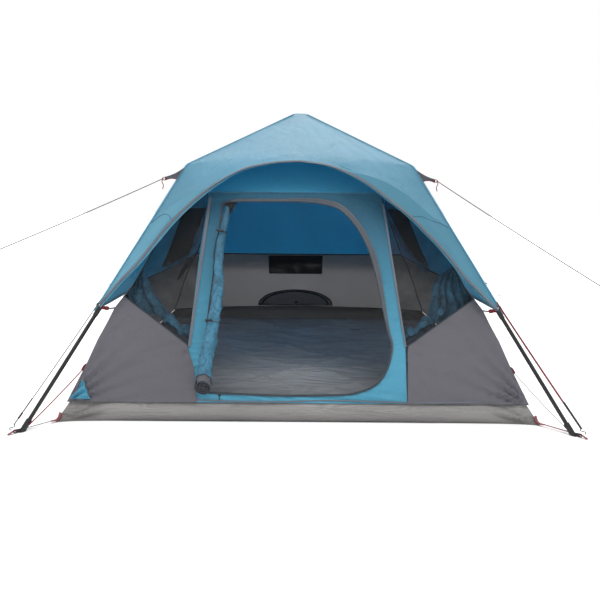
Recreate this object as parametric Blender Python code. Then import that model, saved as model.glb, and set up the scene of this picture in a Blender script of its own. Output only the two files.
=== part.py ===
"""A four-person pop up tent: a folding umbrella frame that carries an inner tent, a fly and guy lines.

Metres, +Z up. The origin is the middle of the floor, on the ground. The door faces -Y.
Each of the four legs lies in a vertical plane through the Z axis, on a diagonal of the square floor.
In such a plane a point is (r, z): r is the distance from the Z axis and z is the height.
"""

import math

import bmesh
import bpy
from mathutils import Matrix, Vector

# ---------------------------------------------------------------- driving dimensions
FLOOR_HALF = 1.20            # half of the square floor
SILL_HEIGHT = 0.09           # groundsheet turned up round the floor
SILL_TOP_HALF = 1.155
TAB_HEIGHT = 0.53            # where tabs pull the front wall's corners to the legs
TAB_HALF = 0.948
SEAM_HEIGHT = 0.64           # seam between the lower and the upper wall cloth
SEAM_HALF = 0.885
EAVE_HEIGHT = 1.13           # top of the inner walls
EAVE_HALF = 0.66
INNER_TOP_HEIGHT = 1.53
INNER_TOP_HALF = 0.05
CLOTH = 0.002                # stand-in thickness of every cloth panel
SEAM_GAP = 0.0015            # gap left at the edges where two cloth panels are sewn
WALL_END_GAP = 0.004         # gap left where two walls meet at a corner

DOOR_LEFT, DOOR_RIGHT, DOOR_BOTTOM, DOOR_TOP = -0.455, 0.465, 0.128, 1.065
DOOR_CROWN_RADIUS = 0.30     # of the arc at the door's top, across; it is taller than wide
DOOR_CROWN_STRETCH = 1.35
DOOR_CROWN_INSET = 0.045
DOOR_CORNER_RADIUS = 0.19
DOOR_HINGE_CHAMFER = 0.03
STRIP_LEFT = {"foot": -0.550, "knee": -0.570, "head": -0.515}    # x of the door frame's outer edges
STRIP_RIGHT = {"foot": 0.545, "knee": 0.562, "head": 0.475}
STRIP_KNEE_HEIGHT = 0.36     # where the grey side panels' upper edges meet the door frame
PANEL_GAP = 0.0025
PANEL_CORNER = (0.912, 0.580)    # half width and height of a grey panel's upper corner
ROLL_TOP, ROLL_BOTTOM = (-0.385, 1.03), (-0.474, 0.155)    # (x, z) on the front wall
ROLL_PROUD = 0.040           # the rolled door's axis stands this far ahead of the front wall
ROLL_RADII = [(0.030, 0.07), (0.033, 0.30), (0.036, 0.70), (0.036, 0.989)]    # radius, share of its length
ROLL_TOP_RADIUS = 0.018
ROLL_END_RADIUS = 0.030
SIDE_WINDOW = (-0.30, 0.70, 0.42, 1.03)     # low x, low z, high x, high z
REAR_WINDOW = (-0.235, 0.46, 0.235, 0.60)
VENT_BASE, VENT_HALF, VENT_RISE = 0.115, 0.33, 0.19
VENT_INSIDE = 0.006          # the vent hangs this far inside the rear wall

HUB_HEIGHT = 1.585           # height of the hub's hinge ring
RING_RADIUS = 0.075          # distance of the arms' hub hinges from the Z axis
ARM_ANGLE = math.radians(-21.5)
ARM_LENGTH = 0.866
FOOT_RADIUS = 1.85           # where a leg's axis meets the ground
UPPER_LEG_LENGTH = 0.90
HINGE_OFFSET = 0.014         # hinge pins sit this far off the tubes' axes, so that folded tubes lie side by side
TUBE_RADIUS = 0.0095
ARM_RADIUS = 0.0095
ARM_START = 0.018            # from a hub hinge, along the arm, to the start of its tube
FIT_GAP = 0.0003
SOCKET_RADIUS = 0.012
SOCKET_LENGTH = 0.045
SOCKET_WALL = 0.003
SOCKET_START = 0.0115        # from a hinge pin, along the tube, to the socket's closed end
LUG_RADIUS = 0.009
TONGUE_HALF = 0.0037
CHEEK_INNER = 0.0043
CHEEK_OUTER = 0.0083
PIN_RADIUS = 0.0025
PIN_HOLE = 0.0029
PIN_HEAD_RADIUS = 0.0045
PIN_HEAD_HEIGHT = 0.0015
FOOT_SOCKET_RADIUS = 0.0135
FOOT_BORE_START = 0.026
FOOT_LENGTH = 0.062
FOOT_EYE = (0.030, 0.010)    # (r, z) of the peg strap's eye, from where the leg's axis meets the ground
FOOT_EYE_RADIUS = 0.0045
FOOT_EYE_RIM = 0.009
FOOT_PLATE_HALF = 0.003
LUG_ROOT = 0.007             # how far a lug runs into its tube or socket
CHEEK_HALF_WIDTH = 0.0075
END_GAP = 0.001              # from a tube's end to the closed end of its socket

HUB_RADIUS = 0.050
HUB_HALF_HEIGHT = 0.018
RING_WIRE = 0.002
RING_HOLE = 0.0024
RING_HALF_RUN = 0.0175       # half of the hinge ring's straight run across an arm
RING_SIDES = 8
EAR_REACH = (0.030, 0.087)
EAR_HALF = (0.013, 0.011)    # half of an ear's width and height
SLOT_REACH = (0.0630, 0.10)
SLOT_HALF = (0.0048, 0.03)
CAP_HEIGHT = 0.028
CAP_RIM = 0.008
CAP_INSET = 0.002
BUTTON_RADIUS = 0.010
BUTTON_PROUD = 0.009

FLY_OFF_AXIS = 0.016         # the fly clears the axes of arms and legs by this much
FLY_TOP_HEIGHT = 1.648
FLY_TOP_HALF = 0.045
FLY_HEM_HEIGHT = 0.585
VISOR_REACH = 0.705          # the front arch's crown: its distance ahead of the Z axis
VISOR_HEIGHT = 1.295
ARCH_POWER = 1.9             # 2 would make the front arch a parabola
ARCH_INSET = 0.004           # the arch ends this far inside the hem's corner
FLY_EDGE_STEPS = 10
TAB_TIP = (1.045, 1.197)     # (r, z) of the guy tabs' tips
TAB_SEAM = (0.008, 0.120)    # a guy tab's two ends on the corner seam, from the shoulder down
TAB_THICKNESS = 0.0025

GUY_RADIUS = 0.0015
GUY_GAP = 0.0006
RUNNER_LENGTH = 0.034
RUNNER_RADIUS = 0.0055
RUNNER_BORE = 0.0022
RUNNER_SHARE = 0.845         # where a runner sits along its rear guy line
PEG_RADIUS = 0.003
PEG_LENGTH = 0.18
PEG_HOOK_RADIUS = 0.011
PEG_HOOK_AHEAD = 0.016       # from the guy line's end to the hook's centre
PEG_OFF_GROUND = 0.0006
GUY_SAG = 0.004

SLIDER_LOW, SLIDER_HIGH = (-0.006, -0.003, -0.005), (0.006, 0.0025, 0.005)
PULL_LOW, PULL_HIGH = (-0.002, -0.0055, -0.024), (0.002, -0.0020, 0.002)
SLIDER_FROM_HINGE = 0.06
SLIDER_BELOW_EDGE = 0.004
SLIDER_PROUD = 0.0035

LEGS = {"front_left": 225, "front_right": 315, "rear_left": 135, "rear_right": 45}
FRONT_GUY_ENDS = {"front_left": (-1.43, -1.16, 0.842), "front_right": (1.345, -1.36, 0.716)}
REAR_PEGS = {"rear_left": (-2.33, 2.50, 0.012), "rear_right": (2.37, 2.50, 0.012)}
REAR_TAB_SIDE = 0.030        # the rear guy lines leave their tabs this far beside the legs' planes

COLOURS = {
    "fly_blue": ((0.10, 0.31, 0.44, 1), 0.65, 0.0),
    "wall_blue": ((0.045, 0.20, 0.30, 1), 0.7, 0.0),
    "wall_grey": ((0.16, 0.16, 0.18, 1), 0.75, 0.0),
    "floor_grey": ((0.35, 0.35, 0.34, 1), 0.7, 0.0),
    "mesh_black": ((0.012, 0.014, 0.016, 1), 0.9, 0.0),
    "tube_black": ((0.02, 0.02, 0.022, 1), 0.35, 0.6),
    "moulding_black": ((0.012, 0.012, 0.013, 1), 0.5, 0.0),
    "pin_steel": ((0.45, 0.45, 0.46, 1), 0.35, 1.0),
    "cord_red": ((0.35, 0.04, 0.04, 1), 0.8, 0.0),
    "button_red": ((0.5, 0.03, 0.03, 1), 0.4, 0.0),
}


# ---------------------------------------------------------------- small helpers
def material(name):
    """The Principled material of that name, made once."""
    if name in bpy.data.materials:
        return bpy.data.materials[name]
    colour, roughness, metallic = COLOURS[name]
    made = bpy.data.materials.new(name)
    made.use_nodes = True
    shader = made.node_tree.nodes["Principled BSDF"]
    shader.inputs["Base Color"].default_value = colour
    shader.inputs["Roughness"].default_value = roughness
    shader.inputs["Metallic"].default_value = metallic
    made.diffuse_color = colour
    return made


def mesh_of(name, bm, smooth=True):
    """Turns a bmesh into a mesh with its faces pointing out."""
    bmesh.ops.recalc_face_normals(bm, faces=bm.faces[:])
    mesh = bpy.data.meshes.new(name)
    bm.to_mesh(mesh)
    bm.free()
    if smooth:
        mesh.shade_smooth()
        mesh.set_sharp_from_angle(angle=math.radians(35))
    return mesh


def add(name, mesh, slot, location=(0, 0, 0), turn=0.0):
    """Adds an object that shows the mesh, turned about Z."""
    made = bpy.data.objects.new(name, mesh)
    made.location = location
    made.rotation_euler = (0, 0, turn)
    if not mesh.materials:
        mesh.materials.append(material(slot))
    bpy.context.scene.collection.objects.link(made)
    return made


def boolean(base, other, operation):
    """The mesh of base combined with other; both are meshes, and other may hold several bodies."""
    pair = [bpy.data.objects.new("pair", m) for m in (base, other)]
    for o in pair:
        bpy.context.scene.collection.objects.link(o)
    cut = pair[0].modifiers.new("cut", "BOOLEAN")
    cut.operation = operation
    cut.object = pair[1]
    seen = pair[0].evaluated_get(bpy.context.evaluated_depsgraph_get())
    made = bpy.data.meshes.new_from_object(seen)
    for o in pair:
        bpy.data.objects.remove(o)
    return made


def joined(bodies):
    """One bmesh that holds all the given ones."""
    total = bodies[0]
    for other in bodies[1:]:
        mesh = bpy.data.meshes.new("part")
        other.to_mesh(mesh)
        other.free()
        total.from_mesh(mesh)
        bpy.data.meshes.remove(mesh)
    return total


def aim(start, direction):
    """A matrix that puts +Z along the direction, from the start point."""
    return Matrix.Translation(start) @ Vector(direction).to_track_quat("Z", "Y").to_matrix().to_4x4()


def turned(profile, start, direction, steps=16):
    """A body of revolution. profile holds (radius, distance along the direction) from axis to axis."""
    bm = bmesh.new()
    place = aim(start, direction)
    points = [bm.verts.new(place @ Vector((r, 0, h))) for r, h in profile]
    closed = profile[0][0] > 0
    ring = points + points[:1] if closed else points
    edges = [bm.edges.new(pair) for pair in zip(ring[:-1], ring[1:])]
    bmesh.ops.spin(bm, geom=points + edges, cent=start, axis=Vector(direction), angle=2 * math.pi,
                   steps=steps, use_merge=True)
    bmesh.ops.remove_doubles(bm, verts=bm.verts[:], dist=1e-6)
    return bm


def rod(radius, start, end, steps=12):
    """A solid round bar between two points."""
    start, end = Vector(start), Vector(end)
    length = (end - start).length
    return turned([(0, 0), (radius, 0), (radius, length), (0, length)], start, end - start, steps)


def filled(loops, lift, thickness):
    """A flat plate: the first loop of 2D points is its outline, the others are holes.
    lift turns a 2D point into a 3D one, and thickness is the vector from one face to the other."""
    bm = bmesh.new()
    for loop in loops:
        verts = [bm.verts.new((*p, 0)) for p in loop]
        for a, b in zip(verts, verts[1:] + verts[:1]):
            bm.edges.new((a, b))
    bmesh.ops.triangle_fill(bm, use_beauty=True, edges=bm.edges[:])
    for v in bm.verts:
        v.co = lift(v.co.x, v.co.y)
    grown = bmesh.ops.extrude_face_region(bm, geom=bm.faces[:])["geom"]
    bmesh.ops.translate(bm, vec=thickness, verts=[g for g in grown if isinstance(g, bmesh.types.BMVert)])
    return bm


def circle(centre, radius, steps=14, first=0.0, last=2 * math.pi):
    """Points of a full circle, or of the arc from first to last with both ends."""
    whole = abs(last - first - 2 * math.pi) < 1e-6
    count = steps if whole else steps + 1
    angles = [first + (last - first) * i / steps for i in range(count)]
    return [(centre[0] + radius * math.cos(a), centre[1] + radius * math.sin(a)) for a in angles]


def hull(points):
    """The convex outline of 2D points, anticlockwise."""
    def half(ordered):
        kept = []
        for p in ordered:
            while len(kept) > 1 and cross(kept[-2], kept[-1], p) <= 1e-12:
                kept.pop()
            kept.append(p)
        return kept[:-1]

    def cross(a, b, c):
        return (b[0] - a[0]) * (c[1] - a[1]) - (b[1] - a[1]) * (c[0] - a[0])

    ordered = sorted(points)
    return half(ordered) + half(ordered[::-1])


def upright(r, z):
    """A point of a leg's plane, in the leg's own (r, side, z) frame."""
    return Vector((r, 0, z))


def along(angle):
    """The unit vector at that angle in a leg's plane."""
    return Vector((math.cos(angle), 0, math.sin(angle)))


def across(angle):
    """The unit vector a quarter turn on from along(angle): up and outward for the arms and legs."""
    return Vector((-math.sin(angle), 0, math.cos(angle)))


def world(point, azimuth):
    """A point of a leg's (r, side, z) frame, in the tent's frame."""
    return Matrix.Rotation(math.radians(azimuth), 3, "Z") @ Vector(point)


# ---------------------------------------------------------------- the frame's hinge points
HUB_PIN = upright(RING_RADIUS, HUB_HEIGHT)
SHOULDER = HUB_PIN + ARM_LENGTH * along(ARM_ANGLE)
FOOT = upright(FOOT_RADIUS, 0)
LEG_ANGLE = math.atan2((FOOT - SHOULDER).z, (FOOT - SHOULDER).x)
SHOULDER_PIN = (SHOULDER - HINGE_OFFSET / math.cos((ARM_ANGLE - LEG_ANGLE) / 2)
                * across((ARM_ANGLE + LEG_ANGLE) / 2))
LEG_TOP = SHOULDER_PIN + HINGE_OFFSET * across(LEG_ANGLE)
KNEE = LEG_TOP + UPPER_LEG_LENGTH * along(LEG_ANGLE)
KNEE_PIN = KNEE + HINGE_OFFSET * across(LEG_ANGLE)
ARM_END = SHOULDER_PIN + HINGE_OFFSET * across(ARM_ANGLE)


# ---------------------------------------------------------------- frame fittings
def lug_outline(pin, root, direction, half_width):
    """A lug's outline: round its pin, and running into the tube or socket whose end is at root."""
    side = across(math.atan2(direction.z, direction.x)) * half_width
    corners = [root + side, root - side, root + direction * LUG_ROOT + side, root + direction * LUG_ROOT - side]
    return hull(circle((pin.x, pin.z), LUG_RADIUS) + [(c.x, c.z) for c in corners])


def lug(pin, root, direction, half_width, low, high, hole):
    """A lug plate between two distances to the side of the leg's plane, with its pin hole."""
    loops = [lug_outline(pin, root, direction, half_width), circle((pin.x, pin.z), hole, 12)]
    return filled(loops, lambda r, z: Vector((r, low, z)), Vector((0, high - low, 0)))


def fork(name, pin, axis_point, direction, origin):
    """A socket with two cheeks that carry the pin. direction points from the pin into the socket."""
    start = axis_point + SOCKET_START * direction
    bore = TUBE_RADIUS + FIT_GAP
    profile = [(0, 0), (SOCKET_RADIUS, 0), (SOCKET_RADIUS, SOCKET_LENGTH), (bore, SOCKET_LENGTH),
               (bore, SOCKET_WALL), (0, SOCKET_WALL)]
    root = start - 0.0005 * direction
    cheeks = [lug(pin, root, direction, CHEEK_HALF_WIDTH, *sorted((s * CHEEK_INNER, s * CHEEK_OUTER)), PIN_HOLE)
              for s in (1, -1)]
    trimmed = turned(profile, start, direction)
    for body in cheeks:
        keep_out_of_bore(body, start + SOCKET_WALL * direction, direction)
    mesh = boolean(mesh_of(name, trimmed), mesh_of("cheeks", joined(cheeks)), "UNION")
    mesh.name = name
    mesh.transform(Matrix.Translation(-origin))
    return mesh


def keep_out_of_bore(bm, point, direction):
    """Trims a cheek so that it ends inside the socket's closed end."""
    cut = bmesh.ops.bisect_plane(bm, geom=bm.verts[:] + bm.edges[:] + bm.faces[:],
                                 plane_co=point - 0.0004 * direction, plane_no=direction, clear_outer=True)
    bmesh.ops.holes_fill(bm, edges=[g for g in cut["geom_cut"] if isinstance(g, bmesh.types.BMEdge)])


def tube_with_tongues(name, radius, start, end, tongues, origin):
    """A tube from start to end with a flattened, drilled tongue for each (pin, root, direction, hole)."""
    plates = [lug(pin, root, direction, 0.8 * radius, -TONGUE_HALF, TONGUE_HALF, hole)
              for pin, root, direction, hole in tongues]
    mesh = boolean(mesh_of(name, rod(radius, start, end)), mesh_of("tongues", joined(plates)), "UNION")
    mesh.name = name
    mesh.transform(Matrix.Translation(-origin))
    return mesh


def pin_mesh(name):
    """A riveted pin along the side axis, centred on its origin."""
    head = CHEEK_OUTER + FIT_GAP
    half = [(PIN_HEAD_RADIUS, head), (PIN_HEAD_RADIUS, head + PIN_HEAD_HEIGHT), (0, head + PIN_HEAD_HEIGHT)]
    upper = [(PIN_RADIUS, head)] + half
    lower = [(r, -h) for r, h in reversed(upper)]
    return mesh_of(name, turned(lower + upper, Vector((0, 0, 0)), Vector((0, 1, 0)), 12))


def foot_mesh(name):
    """A moulded foot: a socket cut flat at the ground, with an eye for the peg strap."""
    up = -along(LEG_ANGLE)
    bore = TUBE_RADIUS + FIT_GAP
    profile = [(0, -0.03), (FOOT_SOCKET_RADIUS, -0.03), (FOOT_SOCKET_RADIUS, FOOT_LENGTH), (bore, FOOT_LENGTH),
               (bore, FOOT_BORE_START), (0, FOOT_BORE_START)]
    socket = turned(profile, Vector((0, 0, 0)), up)
    cut = bmesh.ops.bisect_plane(socket, geom=socket.verts[:] + socket.edges[:] + socket.faces[:],
                                 plane_co=(0, 0, 0), plane_no=(0, 0, -1), clear_outer=True)
    bmesh.ops.holes_fill(socket, edges=[g for g in cut["geom_cut"] if isinstance(g, bmesh.types.BMEdge)])
    outline = hull(circle(FOOT_EYE, FOOT_EYE_RIM) + [(0.004, 0.001), (0.030, 0.001), (0.002, 0.016)])
    plate = filled([outline, circle(FOOT_EYE, FOOT_EYE_RADIUS, 10)],
                   lambda r, z: Vector((r, -FOOT_PLATE_HALF, z)), Vector((0, 2 * FOOT_PLATE_HALF, 0)))
    mesh = boolean(mesh_of(name, socket), mesh_of("eye", plate), "UNION")
    mesh.name = name
    return mesh


def make_legs():
    """The four arms and legs with their hinges: each fitting's mesh is shared by its four copies."""
    arm, leg = along(ARM_ANGLE), along(LEG_ANGLE)
    arm_start = HUB_PIN + ARM_START * arm
    arm_stop = ARM_END - (SOCKET_START + SOCKET_WALL + END_GAP) * arm
    knee_start = KNEE + (SOCKET_START + SOCKET_WALL + END_GAP) * leg
    foot_stop = FOOT - (FOOT_BORE_START + END_GAP) * leg
    parts = {
        "roof_arm": (tube_with_tongues("roof_arm", ARM_RADIUS, arm_start, arm_stop,
                                       [(HUB_PIN, arm_start, arm, RING_HOLE)], HUB_PIN), "tube_black", HUB_PIN),
        "shoulder_joint": (fork("shoulder_joint", SHOULDER_PIN, ARM_END, -arm, SHOULDER_PIN),
                           "moulding_black", SHOULDER_PIN),
        "shoulder_pin": (pin_mesh("shoulder_pin"), "pin_steel", SHOULDER_PIN),
        "upper_leg": (tube_with_tongues("upper_leg", TUBE_RADIUS, LEG_TOP + SOCKET_START * leg,
                                        KNEE - SOCKET_START * leg,
                                        [(SHOULDER_PIN, LEG_TOP + SOCKET_START * leg, leg, PIN_HOLE),
                                         (KNEE_PIN, KNEE - SOCKET_START * leg, -leg, PIN_HOLE)], SHOULDER_PIN),
                      "tube_black", SHOULDER_PIN),
        "knee_joint": (fork("knee_joint", KNEE_PIN, KNEE, leg, KNEE_PIN), "moulding_black", KNEE_PIN),
        "knee_pin": (pin_mesh("knee_pin"), "pin_steel", KNEE_PIN),
        "lower_leg": (lower_leg_mesh(knee_start, foot_stop), "tube_black", KNEE_PIN),
        "foot": (foot_mesh("foot"), "moulding_black", FOOT),
    }
    for leg_name, azimuth in LEGS.items():
        for part, (mesh, slot, place) in parts.items():
            add(f"{part}_{leg_name}", mesh, slot, world(place, azimuth), math.radians(azimuth))


def lower_leg_mesh(start, stop):
    """The plain tube between a knee socket and a foot."""
    mesh = mesh_of("lower_leg", rod(TUBE_RADIUS, start, stop))
    mesh.transform(Matrix.Translation(-KNEE_PIN))
    return mesh


# ---------------------------------------------------------------- hub
def box(low, high, azimuth=0):
    """A box between two corners, turned about the Z axis."""
    bm = bmesh.new()
    bmesh.ops.create_cube(bm, size=1)
    low, high = Vector(low), Vector(high)
    size = high - low
    place = Matrix.Rotation(math.radians(azimuth), 4, "Z") @ Matrix.Translation((low + high) / 2)
    bmesh.ops.transform(bm, matrix=place @ Matrix.Diagonal((*size, 1)), verts=bm.verts[:])
    return bm


def ring_points():
    """The hinge ring's corners: a straight run across each arm, and a chord to the next one."""
    return [world((RING_RADIUS, side, 0), azimuth) for azimuth in sorted(LEGS.values())
            for side in (-RING_HALF_RUN, RING_HALF_RUN)]


def ring_mesh(name, radius):
    """A wire of that radius round the closed, level loop of ring_points."""
    points = ring_points()
    sides = RING_SIDES
    bm = bmesh.new()
    rings = []
    for before, here, after in zip(points[-1:] + points[:-1], points, points[1:] + points[:1]):
        tangent = ((here - before).normalized() + (after - here).normalized()).normalized()
        outward = Vector((tangent.y, -tangent.x, 0)) / tangent.dot((after - here).normalized())
        rings.append([bm.verts.new(here + radius * (math.cos(a) * outward + math.sin(a) * Vector((0, 0, 1))))
                      for a in (2 * math.pi * i / sides for i in range(sides))])
    for a, b in zip(rings, rings[1:] + rings[:1]):
        for i in range(sides):
            bm.faces.new((a[i], a[(i + 1) % sides], b[(i + 1) % sides], b[i]))
    return mesh_of(name, bm)


def arm_block(reach, half, azimuth):
    """A box that reaches outward along an arm's plane. half is half of its width and height."""
    return box((reach[0], -half[0], -half[1]), (reach[1], half[0], half[1]), azimuth)


def make_hub():
    """Hub moulding with slotted ears, its hinge ring, a domed cap and the release button below."""
    h = HUB_HALF_HEIGHT
    core = mesh_of("hub_body", rod(HUB_RADIUS, (0, 0, -h), (0, 0, h), 32), smooth=False)
    ears = [arm_block(EAR_REACH, EAR_HALF, azimuth) for azimuth in LEGS.values()]
    slots = [arm_block(SLOT_REACH, SLOT_HALF, azimuth) for azimuth in LEGS.values()]
    bore = rod(BUTTON_RADIUS + 0.0004, (0, 0, -h - 0.01), (0, 0, 0.006), 20)
    mesh = boolean(core, mesh_of("ears", joined(ears), smooth=False), "UNION")
    mesh = boolean(mesh, mesh_of("slots", joined(slots + [bore]), smooth=False), "DIFFERENCE")
    mesh = boolean(mesh, ring_mesh("ring_cut", RING_HOLE), "DIFFERENCE")
    mesh.shade_smooth()
    mesh.set_sharp_from_angle(angle=math.radians(35))
    centre = (0, 0, HUB_HEIGHT)
    add("hub_body", mesh, "moulding_black", centre)
    add("hub_ring", ring_mesh("hub_ring", RING_WIRE), "pin_steel", centre)
    cap_radius = HUB_RADIUS - CAP_INSET
    dome = [(0, h + FIT_GAP), (cap_radius, h + FIT_GAP)]
    dome += [(cap_radius * math.cos(a), h + CAP_RIM + (CAP_HEIGHT - CAP_RIM) * math.sin(a))
             for a in (math.radians(15 * i) for i in range(6))]
    dome += [(0, h + CAP_HEIGHT)]
    add("hub_cap", mesh_of("hub_cap", turned(dome, Vector((0, 0, 0)), Vector((0, 0, 1)), 32)),
        "moulding_black", centre)
    button = [(0, 0.0), (BUTTON_RADIUS, 0.0), (BUTTON_RADIUS, -h - BUTTON_PROUD + 0.002),
              (BUTTON_RADIUS - 0.002, -h - BUTTON_PROUD), (0, -h - BUTTON_PROUD)]
    add("release_button", mesh_of("release_button", turned(button, Vector((0, 0, 0)), Vector((0, 0, 1)), 20)),
        "button_red", centre)


# ---------------------------------------------------------------- inner tent
def half_width(z):
    """Half of the inner tent's width at a height."""
    profile = [(0, FLOOR_HALF), (SILL_HEIGHT, SILL_TOP_HALF), (SEAM_HEIGHT, SEAM_HALF), (EAVE_HEIGHT, EAVE_HALF)]
    for (z0, w0), (z1, w1) in zip(profile, profile[1:]):
        if z <= z1:
            return w0 + (w1 - w0) * (z - z0) / (z1 - z0)
    return EAVE_HALF


def thick(name, bm, slot, offset=-1.0):
    """An object whose open surface is thickened to a closed panel by a Solidify modifier."""
    made = add(name, mesh_of(name, bm, smooth=False), slot)
    solid = made.modifiers.new("thickness", "SOLIDIFY")
    solid.thickness = CLOTH
    solid.offset = offset
    return made


def grid_faces(bm, rows, skipped=()):
    """Faces between rows of points. skipped holds (row, column) cells that stay open."""
    verts = [[bm.verts.new(p) for p in row] for row in rows]
    for i in range(len(rows) - 1):
        for j in range(len(rows[0]) - 1):
            if (i, j) not in skipped:
                bm.faces.new((verts[i][j], verts[i][j + 1], verts[i + 1][j + 1], verts[i + 1][j]))
    return verts


def wall(name, azimuth, window):
    """A wall with a rectangular window hole. Its own frame faces -Y: x runs along it and y is its depth.
    window is (low x, low z, high x, high z)."""
    x0, z0, x1, z1 = window
    heights = sorted({SILL_HEIGHT + SEAM_GAP, SEAM_HEIGHT, z0, z1, EAVE_HEIGHT - SEAM_GAP})
    turn = Matrix.Rotation(math.radians(azimuth), 3, "Z")
    rows = []
    for z in heights:
        w = half_width(z)
        edge = w - WALL_END_GAP
        rows.append([turn @ Vector((x, -w, z)) for x in (-edge, x0, x1, edge)])
    bm = bmesh.new()
    hole_row = heights.index(z0)
    grid_faces(bm, rows, skipped={(hole_row, 1)})
    return thick(name, bm, "wall_grey", offset=-1.0)


def front_point(x, z):
    """A point of the front wall, which is one flat slope from the sill to the eave."""
    slope = (SILL_TOP_HALF - EAVE_HALF) / (EAVE_HEIGHT - SILL_HEIGHT)
    return Vector((x, -(SILL_TOP_HALF - slope * (z - SILL_HEIGHT)), z))


FRONT_LEAN = math.atan((SILL_TOP_HALF - EAVE_HALF) / (EAVE_HEIGHT - SILL_HEIGHT))
FRONT_NORMAL = Vector((0, -math.cos(FRONT_LEAN), math.sin(FRONT_LEAN)))


def slope_panel(name, loops, slot):
    """A flat cloth panel of the front wall, thickened towards the inside."""
    return add(name, mesh_of(name, filled(loops, front_point, -CLOTH * FRONT_NORMAL), smooth=False), slot)


def door_outline():
    """The door opening: square on the hinge side, with a wide arc at the top and a round corner below."""
    across_crown, up_crown = DOOR_CROWN_RADIUS, DOOR_CROWN_STRETCH * DOOR_CROWN_RADIUS
    foot = (DOOR_RIGHT - DOOR_CORNER_RADIUS, DOOR_BOTTOM + DOOR_CORNER_RADIUS)
    shoulder = (DOOR_RIGHT - DOOR_CROWN_INSET - across_crown, DOOR_TOP - up_crown)
    points = [(DOOR_LEFT, DOOR_BOTTOM + DOOR_HINGE_CHAMFER), (DOOR_LEFT + DOOR_HINGE_CHAMFER, DOOR_BOTTOM)]
    points += circle(foot, DOOR_CORNER_RADIUS, 6, -math.pi / 2, 0)
    points += [(shoulder[0] + across_crown * math.cos(a), shoulder[1] + up_crown * math.sin(a))
               for a in (math.radians(15 * i) for i in range(7))]
    return points + [(DOOR_LEFT, DOOR_TOP)]


def make_front():
    """The blue door frame, the two grey side panels and the rolled-up door."""
    low = SILL_HEIGHT + SEAM_GAP
    high = EAVE_HEIGHT - SEAM_GAP
    left, right, knee = STRIP_LEFT, STRIP_RIGHT, STRIP_KNEE_HEIGHT
    frame = [(left["foot"], low), (right["foot"], low), (right["knee"], knee), (right["head"], high),
             (left["head"], high), (left["knee"], knee)]
    slope_panel("door_frame_panel", [frame, door_outline()], "wall_blue")
    for name, side, strip in (("front_panel_left", -1, left), ("front_panel_right", 1, right)):
        outline = [(side * (half_width(low) - 0.006), low), (strip["foot"] + side * PANEL_GAP, low),
                   (strip["knee"] + side * PANEL_GAP, knee), (side * PANEL_CORNER[0], PANEL_CORNER[1]),
                   (side * TAB_HALF, TAB_HEIGHT)]
        slope_panel(name, [outline], "wall_grey")
    start, end = front_point(*ROLL_TOP), front_point(*ROLL_BOTTOM)
    axis = end - start
    roll = [(0, 0), (ROLL_TOP_RADIUS, 0)] + [(r, share * axis.length) for r, share in ROLL_RADII]
    roll += [(ROLL_END_RADIUS, axis.length), (0, axis.length)]
    add("door_roll", mesh_of("door_roll", turned(roll, start + ROLL_PROUD * FRONT_NORMAL, axis, 16)), "wall_blue")


def make_groundsheet():
    """The tub-shaped floor: a square sheet turned up at its edges."""
    rings = [(FLOOR_HALF, 0), (SILL_TOP_HALF, SILL_HEIGHT), (SILL_TOP_HALF - CLOTH, SILL_HEIGHT),
             (FLOOR_HALF - CLOTH - 0.0015, CLOTH)]
    bm = bmesh.new()
    loops = [[bm.verts.new((sx * w, sy * w, z)) for sx, sy in ((-1, -1), (1, -1), (1, 1), (-1, 1))]
             for w, z in rings]
    for a, b in zip(loops, loops[1:]):
        for i in range(4):
            bm.faces.new((a[i], a[(i + 1) % 4], b[(i + 1) % 4], b[i]))
    bm.faces.new(loops[0])
    bm.faces.new(loops[-1])
    add("groundsheet", mesh_of("groundsheet", bm, smooth=False), "floor_grey")


def make_roof():
    """The inner tent's pyramid roof, below the arms."""
    rings = [(EAVE_HALF, EAVE_HEIGHT + SEAM_GAP), (INNER_TOP_HALF, INNER_TOP_HEIGHT)]
    bm = bmesh.new()
    loops = [[bm.verts.new((sx * w, sy * w, z)) for sx, sy in ((-1, -1), (1, -1), (1, 1), (-1, 1))]
             for w, z in rings]
    for i in range(4):
        bm.faces.new((loops[0][i], loops[0][(i + 1) % 4], loops[1][(i + 1) % 4], loops[1][i]))
    bm.faces.new(loops[1])
    thick("inner_roof", bm, "wall_blue", offset=1.0)


def mirrored(window):
    """The same window, seen from the other side."""
    x0, z0, x1, z1 = window
    return (-x1, z0, -x0, z1)


def window_mesh(name, azimuth, window):
    """The mosquito mesh that fills a wall's window hole."""
    x0, z0, x1, z1 = window
    gap = SEAM_GAP
    turn = Matrix.Rotation(math.radians(azimuth), 3, "Z")
    depth = Vector((0, CLOTH, 0))
    outline = [(x0 + gap, z0 + gap), (x1 - gap, z0 + gap), (x1 - gap, z1 - gap), (x0 + gap, z1 - gap)]
    bm = filled([outline], lambda x, z: turn @ Vector((x, -half_width(z), z)), turn @ depth)
    add(name, mesh_of(name, bm, smooth=False), "mesh_black")


def make_walls():
    """Side and rear walls with their mesh windows, and the half-moon vent inside the rear wall."""
    for name, azimuth, window in (("left", 270, mirrored(SIDE_WINDOW)), ("right", 90, SIDE_WINDOW),
                                  ("rear", 180, REAR_WINDOW)):
        wall(f"{name}_wall", azimuth, window)
        window_mesh(f"{name}_window_mesh", azimuth, window)

    def lift(x, z):
        return Vector((x, half_width(z) - VENT_INSIDE, z))

    half_moon = [(VENT_HALF * math.cos(a), VENT_BASE + VENT_RISE * math.sin(a))
                 for a in (math.pi * i / 14 for i in range(15))]
    add("rear_vent", mesh_of("rear_vent", filled([half_moon], lift, Vector((0, -CLOTH, 0))), smooth=False),
        "mesh_black")


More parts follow.
